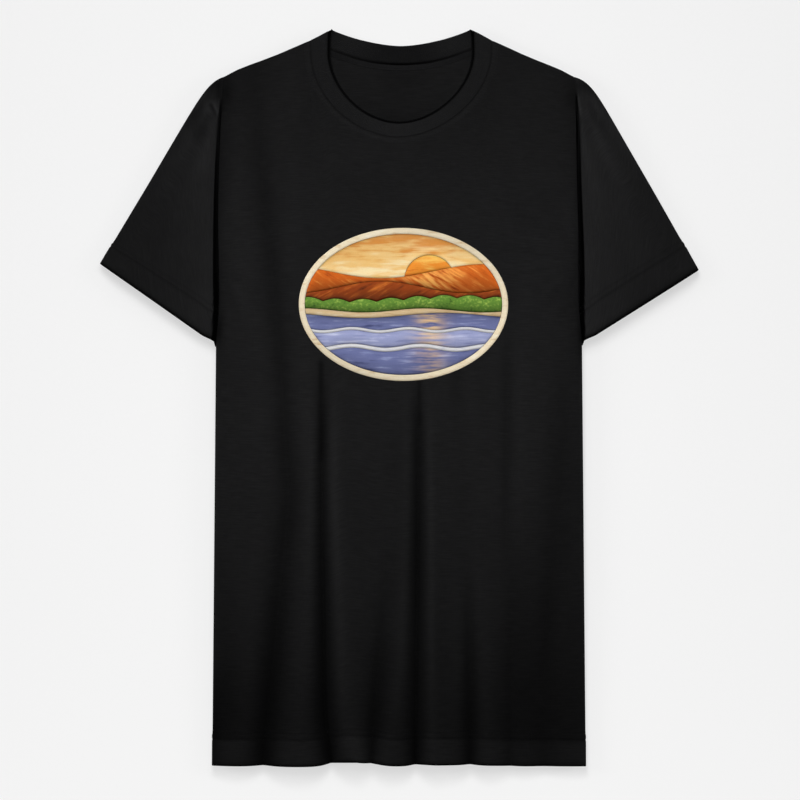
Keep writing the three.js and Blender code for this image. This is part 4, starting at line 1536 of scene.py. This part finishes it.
class Graph:
    """A hand for adding and linking shader nodes in one tree."""

    def __init__(self, tree: Tree) -> None:
        """Keep the tree."""
        self.tree = tree

    def node(self, kind: str, **settings: object) -> bpy.types.Node:
        """Add a node and set its properties."""
        made = self.tree.nodes.new(kind)
        for key, value in settings.items():
            setattr(made, key, value)
        return made

    def put(self, value: object, target: Socket) -> None:
        """Link a socket to the target, or set the target's own value."""
        if isinstance(value, bpy.types.NodeSocket):
            self.tree.links.new(value, target)
        elif target.type == "RGBA":
            target.default_value = (*value, 1)
        else:
            target.default_value = value

    def math(self, operation: str, *values: Value) -> Socket:
        """Add a Math node."""
        made = self.node("ShaderNodeMath", operation=operation)
        for value, target in zip(values, made.inputs):
            self.put(value, target)
        return made.outputs[0]

    def mix(self, factor: Value, first: object, second: object, blend: str = "MIX") -> Socket:
        """Mix two colours."""
        made = self.node("ShaderNodeMix", data_type="RGBA", blend_type=blend)
        for value, number in ((factor, 0), (first, 6), (second, 7)):
            self.put(value, made.inputs[number])
        return made.outputs[2]

    def spread(self, value: Value, low: float, high: float, to: tuple = (0, 1)) -> Socket:
        """Map low to high onto another range, held at its ends."""
        made = self.node("ShaderNodeMapRange", interpolation_type="SMOOTHSTEP")
        for each, target in zip((value, low, high, *to), made.inputs):
            self.put(each, target)
        return made.outputs[0]

    def vector(self, x: Value, y: Value, z: Value) -> Socket:
        """Combine three values into a vector."""
        made = self.node("ShaderNodeCombineXYZ")
        for value, target in zip((x, y, z), made.inputs):
            self.put(value, target)
        return made.outputs[0]

    def noise(self, x: Value, y: Value, detail: float, seed: float) -> Socket:
        """Add a noise with lumps about one unit long."""
        made = self.node("ShaderNodeTexNoise")
        self.put(self.vector(x, y, seed), made.inputs["Vector"])
        self.put(1.0, made.inputs["Scale"])
        self.put(detail, made.inputs["Detail"])
        return made.outputs["Fac"]

    def lumps(self, place: Place, width: float, length: float, detail: float, seed: float) -> Socket:
        """Add a noise with lumps of this width and length, in millimetres."""
        across, along = (self.math("DIVIDE", at, size) for at, size in zip(place, (width, length)))
        return self.noise(across, along, detail, seed)

    def bell(self, offsets: Iterable[tuple[Value, Value]]) -> Socket:
        """Stand at 1 in the middle and fall to all sides, by offsets and their widths."""
        squares = [self.math("POWER", self.math("DIVIDE", *each), 2.0) for each in offsets]
        return self.math("EXPONENT", self.math("MULTIPLY", self.math("ADD", *squares), -1.0))

    def scaled(self, colour: object, by: Value) -> Socket:
        """Multiply a colour by a value."""
        return self.mix(1.0, colour, self.vector(by, by, by), "MULTIPLY")

    def painted_light_and_tone_attribute(self) -> Socket:
        """Give how much lighter or darker the colour is drawn: painted light and shade on the cloth,
        the print's own tone on the ink.
        """
        return self.node("ShaderNodeAttribute", attribute_name=PAINTED_LIGHT_AND_TONE).outputs["Fac"]

    def apart(self, vector: Socket) -> bpy.types.bpy_prop_collection:
        """Split a vector into its three values."""
        made = self.node("ShaderNodeSeparateXYZ")
        self.put(vector, made.inputs[0])
        return made.outputs

    def in_millimetres(self, vector: Socket) -> Place:
        """Give a vector's first two values, in millimetres."""
        values = self.apart(vector)
        return tuple(self.math("MULTIPLY", values[k], 1 / MM) for k in (0, 1))


COLOUR, FLOAT = "NodeSocketColor", "NodeSocketFloat"
GROUP_OUTPUTS = {"Color": COLOUR, "Roughness": FLOAT, "Height": FLOAT}


def new_group(name: str, inputs: dict[str, object]) -> tuple[Graph, dict, Socket]:
    """Start a shader node group.

    Args:
        name: the group's name.
        inputs: each input's default, a number or a colour.

    Returns:
        Its graph, its inputs by name, and the sockets of its output node.
    """
    tree = bpy.data.node_groups.new(name, "ShaderNodeTree")
    for key, value in inputs.items():
        is_number = isinstance(value, (int, float))
        kind = FLOAT if is_number else COLOUR
        made = tree.interface.new_socket(key, in_out="INPUT", socket_type=kind)
        made.default_value = value if is_number else (*value, 1)
    for key, kind in GROUP_OUTPUTS.items():
        tree.interface.new_socket(key, in_out="OUTPUT", socket_type=kind)
    graph = Graph(tree)
    start, end = graph.node("NodeGroupInput"), graph.node("NodeGroupOutput")
    return graph, {key: start.outputs[key] for key in inputs}, end.inputs


def knit_group() -> Tree:
    """Build the group for knitted jersey: wales of V-shaped loops, slubs and fuzz.

    Returns:
        The group, with colour, roughness and height in millimetres.
    """
    graph, given, end = new_group(
        "knit",
        {
            "Shade": (0.008,) * 3, "Worn": (0.014,) * 3, "Wale": 0.75, "Course": 0.6,
            "Loop Height": 0.05, "Slub": 1.0, "Crumple": 0.2,
        },
    )
    place = u, v = graph.in_millimetres(graph.node("ShaderNodeUVMap", uv_map=CLOTH_MAP).outputs[0])
    wander = graph.lumps(place, 6.0, 3.0, 2.0, 1.7)
    bent = graph.math("ADD", u, graph.math("MULTIPLY", wander, 0.5))
    wale = graph.math("DIVIDE", bent, given["Wale"])
    off = graph.math("SUBTRACT", graph.math("FRACT", wale), 0.5)
    leg = graph.math("ABSOLUTE", off)
    ridge = graph.math("COSINE", graph.math("MULTIPLY", off, 2 * math.pi))
    ridge = graph.math("MULTIPLY_ADD", ridge, 0.5, 0.5)
    course = graph.math("ADD", graph.math("DIVIDE", v, given["Course"]), leg)
    loops = graph.math("SINE", graph.math("MULTIPLY", course, 2 * math.pi))
    loops = graph.math("MULTIPLY_ADD", loops, 0.25, 0.5)
    knit = graph.math("MULTIPLY", ridge, loops)

    slub = graph.spread(graph.lumps(place, 17.0, 0.8, 2.0, 4.1), 0.36, 0.7)
    cloud = graph.lumps(place, 5.0, 4.0, 3.0, 8.8)
    fuzz = graph.lumps(place, 0.45, 0.45, 2.0, 2.3)
    lint = graph.spread(fuzz, 0.66, 0.78)
    crumple = graph.lumps(place, 8.0, 9.0, 3.0, 6.6)

    worn = graph.math("MULTIPLY", graph.math("MULTIPLY", slub, given["Slub"]), 0.5)
    worn = graph.math("MULTIPLY_ADD", cloud, 0.35, worn)
    worn = graph.math("MULTIPLY_ADD", lint, 0.5, worn)
    colour = graph.mix(worn, given["Shade"], given["Worn"])
    # Painted shade in the grooves between wales, and the sheet's painted light and shade, scale the
    # colour.
    painted_light_and_tone_attribute = graph.painted_light_and_tone_attribute()
    dim = graph.math("MULTIPLY_ADD", ridge, 0.3, 0.78)
    dim = graph.math("MULTIPLY", dim, graph.math("ADD", painted_light_and_tone_attribute, 1.0))
    graph.put(graph.scaled(colour, dim), end["Color"])
    graph.put(graph.spread(cloud, 0.2, 0.8, (0.97, 0.86)), end["Roughness"])
    height = graph.math("MULTIPLY", knit, given["Loop Height"])
    height = graph.math("MULTIPLY_ADD", slub, 0.035, height)
    height = graph.math("MULTIPLY_ADD", fuzz, 0.02, height)
    graph.put(graph.math("MULTIPLY_ADD", crumple, given["Crumple"], height), end["Height"])
    return graph.tree


SUN_PLACE = tuple(a + b for a, b in zip(Badge().centre, Badge().sun))


def ink_group() -> Tree:
    """Build the group for soft painted ink on knitted cloth.

    Returns:
        The group, with colour, roughness and height in millimetres.
    """
    graph, given, end = new_group(
        "ink",
        {
            "Light": (0.8,) * 3, "Body": (0.5,) * 3, "Deep": (0.2,) * 3,
            "Stroke Length": 12.0, "Stroke Width": 3.0, "Slant": 0.0,
            "Glaze": 0.0, "Glaze Height": 30.0,
            "Glow Tint": (0.95, 0.6, 0.2), "Glow": 0.0, "Glow Width": 30.0, "Glow Rise": 30.0,
        },
    )
    place = u, v = graph.in_millimetres(graph.node("ShaderNodeTexCoord").outputs["Object"])
    slanted = graph.math("ADD", v, graph.math("MULTIPLY", u, given["Slant"]))
    along = graph.math("DIVIDE", u, given["Stroke Length"])
    across = graph.math("DIVIDE", slanted, given["Stroke Width"])
    stroke = graph.noise(along, across, 4.0, 3.3)
    wash = graph.lumps(place, 19.0, 13.0, 3.0, 9.1)
    grain = graph.lumps(place, 0.7, 0.7, 2.0, 5.2)

    glaze = graph.math("SUBTRACT", v, given["Glaze Height"])
    glaze = graph.math("MULTIPLY", graph.math("DIVIDE", glaze, 40.0), given["Glaze"])
    tone = graph.math("ADD", graph.math("MULTIPLY", stroke, 0.75), graph.math("MULTIPLY", wash, 0.45))
    tone = graph.math("ADD", graph.math("MULTIPLY_ADD", grain, 0.12, tone), glaze)
    light = graph.spread(tone, 0.66, 0.95)
    deep = graph.spread(tone, 0.62, 0.38)
    colour = graph.mix(light, given["Body"], given["Light"])
    colour = graph.mix(deep, colour, given["Deep"])
    glow = graph.bell(
        (graph.math("SUBTRACT", at, middle), given[width])
        for at, middle, width in ((u, SUN_PLACE[0], "Glow Width"), (v, SUN_PLACE[1], "Glow Rise"))
    )
    glow = graph.math("MULTIPLY", glow, graph.spread(stroke, 0.35, 0.6))
    colour = graph.mix(graph.math("MULTIPLY", glow, given["Glow"]), colour, given["Glow Tint"])
    painted_light_and_tone_attribute = graph.painted_light_and_tone_attribute()
    dim = graph.math("ADD", painted_light_and_tone_attribute, 1.0)
    colour = graph.scaled(colour, dim)

    wale = graph.math("SINE", graph.math("MULTIPLY", u, 2 * math.pi / 0.75))
    course = graph.math("SINE", graph.math("MULTIPLY", v, 2 * math.pi / 0.6))
    cloth = graph.math("MULTIPLY_ADD", course, 0.4, wale)
    thin = graph.math("MULTIPLY", graph.spread(cloth, -0.4, -1.4), graph.spread(grain, 0.45, 0.65))
    colour = graph.mix(graph.math("MULTIPLY", thin, 0.35), colour, (0.02, 0.019, 0.018))
    graph.put(colour, end["Color"])
    graph.put(graph.spread(grain, 0.3, 0.7, (0.5, 0.68)), end["Roughness"])
    height = graph.math("MULTIPLY", cloth, 0.012)
    graph.put(graph.math("MULTIPLY_ADD", grain, 0.03, height), end["Height"])
    return graph.tree


class Groups:
    """The shader node groups, each built once."""

    knit: Tree
    ink: Tree

    @classmethod
    def build(cls) -> None:
        """Build every group."""
        cls.knit, cls.ink = knit_group(), ink_group()


# ---- Finishes --------------------------------------------------------------------------------


@dataclass(frozen=True)
class Finish:
    """A finish whose colour, roughness and height come from a node group."""

    name: str
    values: dict[str, object]
    sheen: float = 0.0
    specular: float = 0.2
    bump: float = 1.0

    def group(self) -> Tree:
        """Give the node group that the finish uses."""
        raise NotImplementedError

    def material(self) -> Material:
        """Build the material."""
        made = bpy.data.materials.new(self.name)
        made.use_nodes = True
        graph = Graph(made.node_tree)
        shader = made.node_tree.nodes["Principled BSDF"]
        detail = graph.node("ShaderNodeGroup", node_tree=self.group())
        for key, value in self.values.items():
            graph.put(value, detail.inputs[key])
        graph.put(detail.outputs["Color"], shader.inputs["Base Color"])
        graph.put(detail.outputs["Roughness"], shader.inputs["Roughness"])
        bump = graph.node("ShaderNodeBump")
        graph.put(detail.outputs["Height"], bump.inputs["Height"])
        graph.put(self.bump, bump.inputs["Strength"])
        graph.put(MM, bump.inputs["Distance"])
        graph.put(bump.outputs["Normal"], shader.inputs["Normal"])
        for key, value in (("Specular IOR Level", self.specular), ("Sheen Weight", self.sheen),
                           ("Sheen Roughness", 0.5), ("Sheen Tint", (0.9, 0.9, 0.95))):
            graph.put(value, shader.inputs[key])
        return made


@dataclass(frozen=True)
class Knit(Finish):
    """Black knitted cotton."""

    sheen: float = 0.012
    specular: float = 0.01

    def group(self) -> Tree:
        """Give the group for knitted cloth."""
        return Groups.knit


@dataclass(frozen=True)
class Ink(Finish):
    """Printed ink."""

    specular: float = 0.08

    def group(self) -> Tree:
        """Give the group for ink."""
        return Groups.ink


JERSEY = Knit("jersey", {"Shade": (0.0082, 0.0082, 0.0084), "Worn": (0.0145, 0.0145, 0.0148)})
RIB = Knit(
    "rib",
    {
        "Shade": (0.008, 0.008, 0.0083), "Worn": (0.0135, 0.0135, 0.0138), "Wale": 0.95,
        "Course": 0.7, "Slub": 0.4, "Crumple": 0.05, "Loop Height": 0.07,
    },
)
TAPE = Knit(
    "tape",
    {
        "Shade": (0.0088, 0.0088, 0.0092), "Worn": (0.0145, 0.0145, 0.015), "Wale": 1.3,
        "Course": 0.55, "Slub": 0.3, "Crumple": 0.04, "Loop Height": 0.12,
    },
)
THREAD = Knit(
    "thread",
    {
        "Shade": (0.0095, 0.0095, 0.0098), "Worn": (0.0165, 0.0165, 0.017), "Wale": 0.42,
        "Course": 0.5, "Slub": 0.2, "Crumple": 0.0, "Loop Height": 0.05,
    },
    specular=0.08,
)


def ink(
    name: str,
    light: Colour,
    body: Colour,
    deep: Colour,
    stroke: Pair = (12.0, 3.0),
    slant: float = 0.0,
    glaze: Pair = (0.0, 30.0),
    glow: Triple = (0.0, 30.0, 30.0),
    tint: Colour = (0.95, 0.6, 0.2),
) -> Ink:
    """Give an ink.

    Args:
        name: its name.
        light: the colour of its lightest strokes.
        body: its main colour.
        deep: the colour of its darkest strokes.
        stroke: how long and how wide its strokes are.
        slant: how steeply they run.
        glaze: how much lighter it gets upwards, and the height where it starts.
        glow: how strong the sun's glow is, and how wide and how tall.
        tint: the colour of that glow.

    Returns:
        The finish.
    """
    values = {"Light": light, "Body": body, "Deep": deep, "Slant": slant, "Glow Tint": tint}
    values |= zip(("Stroke Length", "Stroke Width"), stroke)
    values |= zip(("Glaze", "Glaze Height"), glaze)
    values |= zip(("Glow", "Glow Width", "Glow Rise"), glow)
    return Ink("ink_" + name, values)


INKS = {
    "cream": ink("cream", (0.93, 0.86, 0.7), (0.85, 0.73, 0.52), (0.6, 0.38, 0.17)),
    "sky": ink("sky", (0.95, 0.75, 0.42), (0.88, 0.54, 0.18), (0.74, 0.3, 0.06), (30, 4),
               glaze=(-0.5, 138), glow=(0.9, 46, 26), tint=(0.98, 0.86, 0.55)),
    "sun": ink("sun", (0.98, 0.62, 0.14), (0.9, 0.3, 0.03), (0.62, 0.1, 0.008), (16, 3),
               glaze=(0.6, 130)),
    "rust": ink("rust", (0.86, 0.33, 0.06), (0.54, 0.105, 0.008), (0.24, 0.03, 0.003), (15, 3.2),
                slant=0.6, glow=(0.7, 26, 16), tint=(0.95, 0.5, 0.12)),
    "umber": ink("umber", (0.56, 0.15, 0.02), (0.24, 0.042, 0.005), (0.07, 0.012, 0.003), (15, 3),
                 slant=-0.5),
    "leaf": ink("leaf", (0.36, 0.5, 0.09), (0.11, 0.23, 0.03), (0.025, 0.07, 0.012), (2.6, 2.2)),
    "sand": ink("sand", (0.9, 0.78, 0.56), (0.74, 0.54, 0.3), (0.48, 0.28, 0.12), (12, 1.6)),
    "lavender": ink("lavender", (0.62, 0.65, 0.84), (0.33, 0.36, 0.59), (0.16, 0.18, 0.38),
                    (26, 2.6), glow=(0.85, 15, 90)),
    "slate": ink("slate", (0.36, 0.41, 0.64), (0.145, 0.165, 0.34), (0.05, 0.06, 0.16), (26, 2.8),
                 glow=(0.85, 13, 100)),
    "foam": ink("foam", (0.95, 0.93, 0.89), (0.84, 0.83, 0.85), (0.55, 0.57, 0.74), (9, 1.4)),
}


# ---- Putting the shirt together --------------------------------------------------------------


class Shirt:
    """The whole shirt: its sheets of cloth, its stitches and its print."""

    def __init__(self) -> None:
        """Set out the shirt's parts."""
        self.cut = Cut()
        self.hem = Hem()
        self.stitch = Stitch()
        self.finished: dict[str, Material] = {}

    def dress(self, piece: Piece, finish: Finish, slot: str, *nodes: str) -> Piece:
        """Give a piece its finish and its body, and hide the imported parts of the nodes that it
        stands for.
        """
        if finish.name not in self.finished:
            self.finished[finish.name] = finish.material()
        piece.data.materials.append(self.finished[finish.name])
        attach(piece, BODY)
        if nodes:
            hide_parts(*nodes)
        area = sum(p.area for p in piece.data.polygons)
        LOG.info("%s: %d faces, %.4f m2 of surface", piece.name, len(piece.data.polygons), area)
        return piece

    def sew(self, name: str, rows: Rows, slot: str) -> Piece:
        """Sew rows of stitches."""
        return self.dress(self.stitch.sew(name, rows), THREAD, slot)

    def make_panel(self, name: str, panel: Panel, direction: int) -> list[Piece]:
        """Make the front or the back, and the stitches of its hem."""
        sheet, from_hem, from_top = panel.sheet(direction)
        sheet = panel.thicken(sheet, from_hem, from_top)
        sheet = replace(sheet, fade=panel.fade(sheet, from_hem, from_top))
        piece = self.dress(sheet.build(name), JERSEY, "jersey", f"{name}_panel")
        return [piece, self.sew(f"{name}_hem_stitches", panel.hem_rows(sheet), "jersey")]

    def make_front(self) -> None:
        """Make the front with its hem, its stitches and the print."""
        front = Front(self.cut, self.hem, FRONT_GRID)
        piece, stitches = self.make_panel("front", front, 1)
        collar = self.sew("collar_stitches", front.collar_rows(), "jersey")
        inks = self.make_print()

    def make_back(self) -> None:
        """Make the back with its hem, its stitches and the neck tape."""
        back = Back(self.cut, self.hem, BACK_GRID)
        piece, stitches = self.make_panel("back", back, -1)
        tape = NeckTape(self.cut)
        tape_sheet = tape.sheet(back)
        tape_piece = self.dress(tape_sheet.build("tape"), TAPE, "tape", "neck_tape")
        tape_stitches = self.sew("tape_stitches", tape.stitch_rows(tape_sheet), "tape")

    def make_sleeve(self, side: Side) -> None:
        """Make a sleeve with its hem and its stitches."""
        name = side.name.lower()
        sleeve = Sleeve(self.cut, side)
        sheet = sleeve.sheet()
        piece = self.dress(sheet.build(f"{name}_sleeve"), JERSEY, "jersey", f"sleeve_{name}")
        stitches = self.sew(f"{name}_sleeve_stitches", sleeve.hem_rows(sheet), "jersey")

    def make_collar(self) -> None:
        """Make the rib round the neck."""
        piece = self.dress(Collar(self.cut).sheet().build("collar"), RIB, "rib", "neck_rib")

    def make_print(self) -> list[Piece]:
        """Make the print's films of ink."""
        chest_print = Print(self.cut)
        border = chest_print.border_sheet().build("ink_border")
        inks = [self.dress(border, INKS["cream"], "ink_cream", "print_border")]
        for node, (colour, lower, upper, lit) in chest_print.badge.fields().items():
            film = chest_print.field_sheet(lower, upper, lit).build(node.replace("print", "ink"))
            inks.append(self.dress(film, INKS[colour], "ink_" + colour, node))
        return inks

    def build(self) -> None:
        """Make every part of the shirt."""
        self.make_back()
        self.make_front()
        for side in Side:
            self.make_sleeve(side)
        self.make_collar()


# ---- Studio ----------------------------------------------------------------------------------


@dataclass(frozen=True)
class Softbox:
    """A rectangular area light, in metres and watts."""

    name: str
    place: Triple
    aim: Triple
    size: Pair
    power: float

    def build(self) -> None:
        """Hang the light."""
        data = bpy.data.lights.new(self.name, "AREA")
        data.shape, data.energy = "RECTANGLE", self.power
        data.size, data.size_y = self.size
        lamp = bpy.data.objects.new(self.name, data)
        lamp.location = self.place
        way = Vector(self.aim) - Vector(self.place)
        lamp.rotation_euler = way.to_track_quat("-Z", "Y").to_euler()
        bpy.context.scene.collection.objects.link(lamp)


@dataclass(frozen=True)
class Studio:
    """A pale floor, soft light and a camera that looks straight down."""

    lens: float = 150
    sensor: float = 36
    view_width: float = 0.8
    middle: Triple = (0.0005, -0.002, 0.02)
    floor_half: float = 8
    floor_drop: float = 0.0004
    floor_glow: float = 0.56
    floor_swell: float = 0.03
    floor_grade: Pair = (-0.13, 0.107)
    graded_half: float = 0.45
    swell_size: Pair = (0.3, 0.34)
    floor_albedo: float = 0.386
    backdrop: float = 0.88
    fill: float = 0.18
    lights: tuple[Softbox, ...] = (
        Softbox("key", (-0.15, 1.1, 2.5), (0, 0.1, 0), (0.6, 1.4), 32),
        Softbox("near", (0, 0.42, 1.1), (0, 0.2, 0), (0.4, 0.3), 2.7),
        Softbox("left", (-1.5, 0.25, 1.3), (0, 0.05, 0), (0.5, 0.8), 5),
        Softbox("right", (1.5, 0.25, 1.3), (0, 0.05, 0), (0.5, 0.8), 4),
    )

    def make_floor(self) -> None:
        """Lay the floor."""
        bpy.ops.object.select_all(action="DESELECT")
        bpy.ops.mesh.primitive_plane_add(size=2 * self.floor_half, location=(0, 0, 0))
        floor = bpy.context.object
        floor.name = "floor"
        for vertex in floor.data.vertices:
            vertex.co.z = -self.floor_drop
        floor.data.materials.append(self.floor_finish())

    def floor_finish(self) -> Material:
        """Build the floor's material, graded so that it looks evenly lit."""
        made = bpy.data.materials.new("floor")
        made.use_nodes = True
        graph = Graph(made.node_tree)
        shader = made.node_tree.nodes["Principled BSDF"]
        place = graph.node("ShaderNodeTexCoord")
        grain = graph.node("ShaderNodeTexNoise")
        graph.put(place.outputs["Object"], grain.inputs["Vector"])
        graph.put(260.0, grain.inputs["Scale"])
        tone = graph.spread(grain.outputs["Fac"], 0.2, 0.8, (0.985, 1.0))
        pale = (self.floor_albedo,) * 3
        graph.put(graph.scaled(pale, tone), shader.inputs["Base Color"])
        values = graph.apart(place.outputs["Object"])
        graded = self.graded_half
        reach = graph.math("MINIMUM", graph.math("MAXIMUM", values[1], -graded), graded)
        slope, bend = self.floor_grade
        grade = graph.math("MULTIPLY", graph.math("MULTIPLY_ADD", reach, bend, slope), reach)
        swell = graph.bell(zip(values, self.swell_size))
        grade = graph.math("MULTIPLY_ADD", swell, self.floor_swell, grade)
        glow = graph.math("ADD", grade, self.floor_glow)
        graph.put(graph.vector(glow, glow, glow), shader.inputs["Emission Color"])
        graph.put(1.0, shader.inputs["Roughness"])
        graph.put(0.0, shader.inputs["Specular IOR Level"])
        graph.put(1.0, shader.inputs["Emission Strength"])
        return made

    def make_world(self) -> None:
        """Fill the room with even light, with a pale backdrop behind."""
        world = bpy.data.worlds.new("studio")
        world.use_nodes = True
        bpy.context.scene.world = world
        graph = Graph(world.node_tree)
        nodes = world.node_tree.nodes
        fill = nodes["Background"]
        graph.put((1.0, 1.0, 1.0), fill.inputs["Color"])
        graph.put(self.fill, fill.inputs["Strength"])
        backdrop = graph.node("ShaderNodeBackground")
        graph.put((1.0, 1.0, 1.0), backdrop.inputs["Color"])
        graph.put(self.backdrop, backdrop.inputs["Strength"])
        path, mixed = graph.node("ShaderNodeLightPath"), graph.node("ShaderNodeMixShader")
        graph.put(path.outputs["Is Camera Ray"], mixed.inputs[0])
        graph.put(fill.outputs[0], mixed.inputs[1])
        graph.put(backdrop.outputs[0], mixed.inputs[2])
        graph.put(mixed.outputs[0], nodes["World Output"].inputs["Surface"])

    def make_camera(self) -> None:
        """Hang the camera over the shirt."""
        data = bpy.data.cameras.new("camera")
        data.lens, data.sensor_width = self.lens, self.sensor
        camera = bpy.data.objects.new("camera", data)
        x, y, z = self.middle
        camera.location = (x, y, z + self.view_width * self.lens / self.sensor)
        bpy.context.scene.collection.objects.link(camera)
        bpy.context.scene.camera = camera

    def build(self) -> None:
        """Set up the floor, the lights and the camera."""
        self.make_floor()
        self.make_world()
        for light in self.lights:
            light.build()
        self.make_camera()
        bpy.context.scene.view_settings.view_transform = "Standard"


def main() -> None:
    """Build the studio and the shirt."""
    logging.basicConfig(level=logging.INFO, format="%(message)s")
    Groups.build()
    Studio().build()
    Shirt().build()


if __name__ == "__main__":
    main()
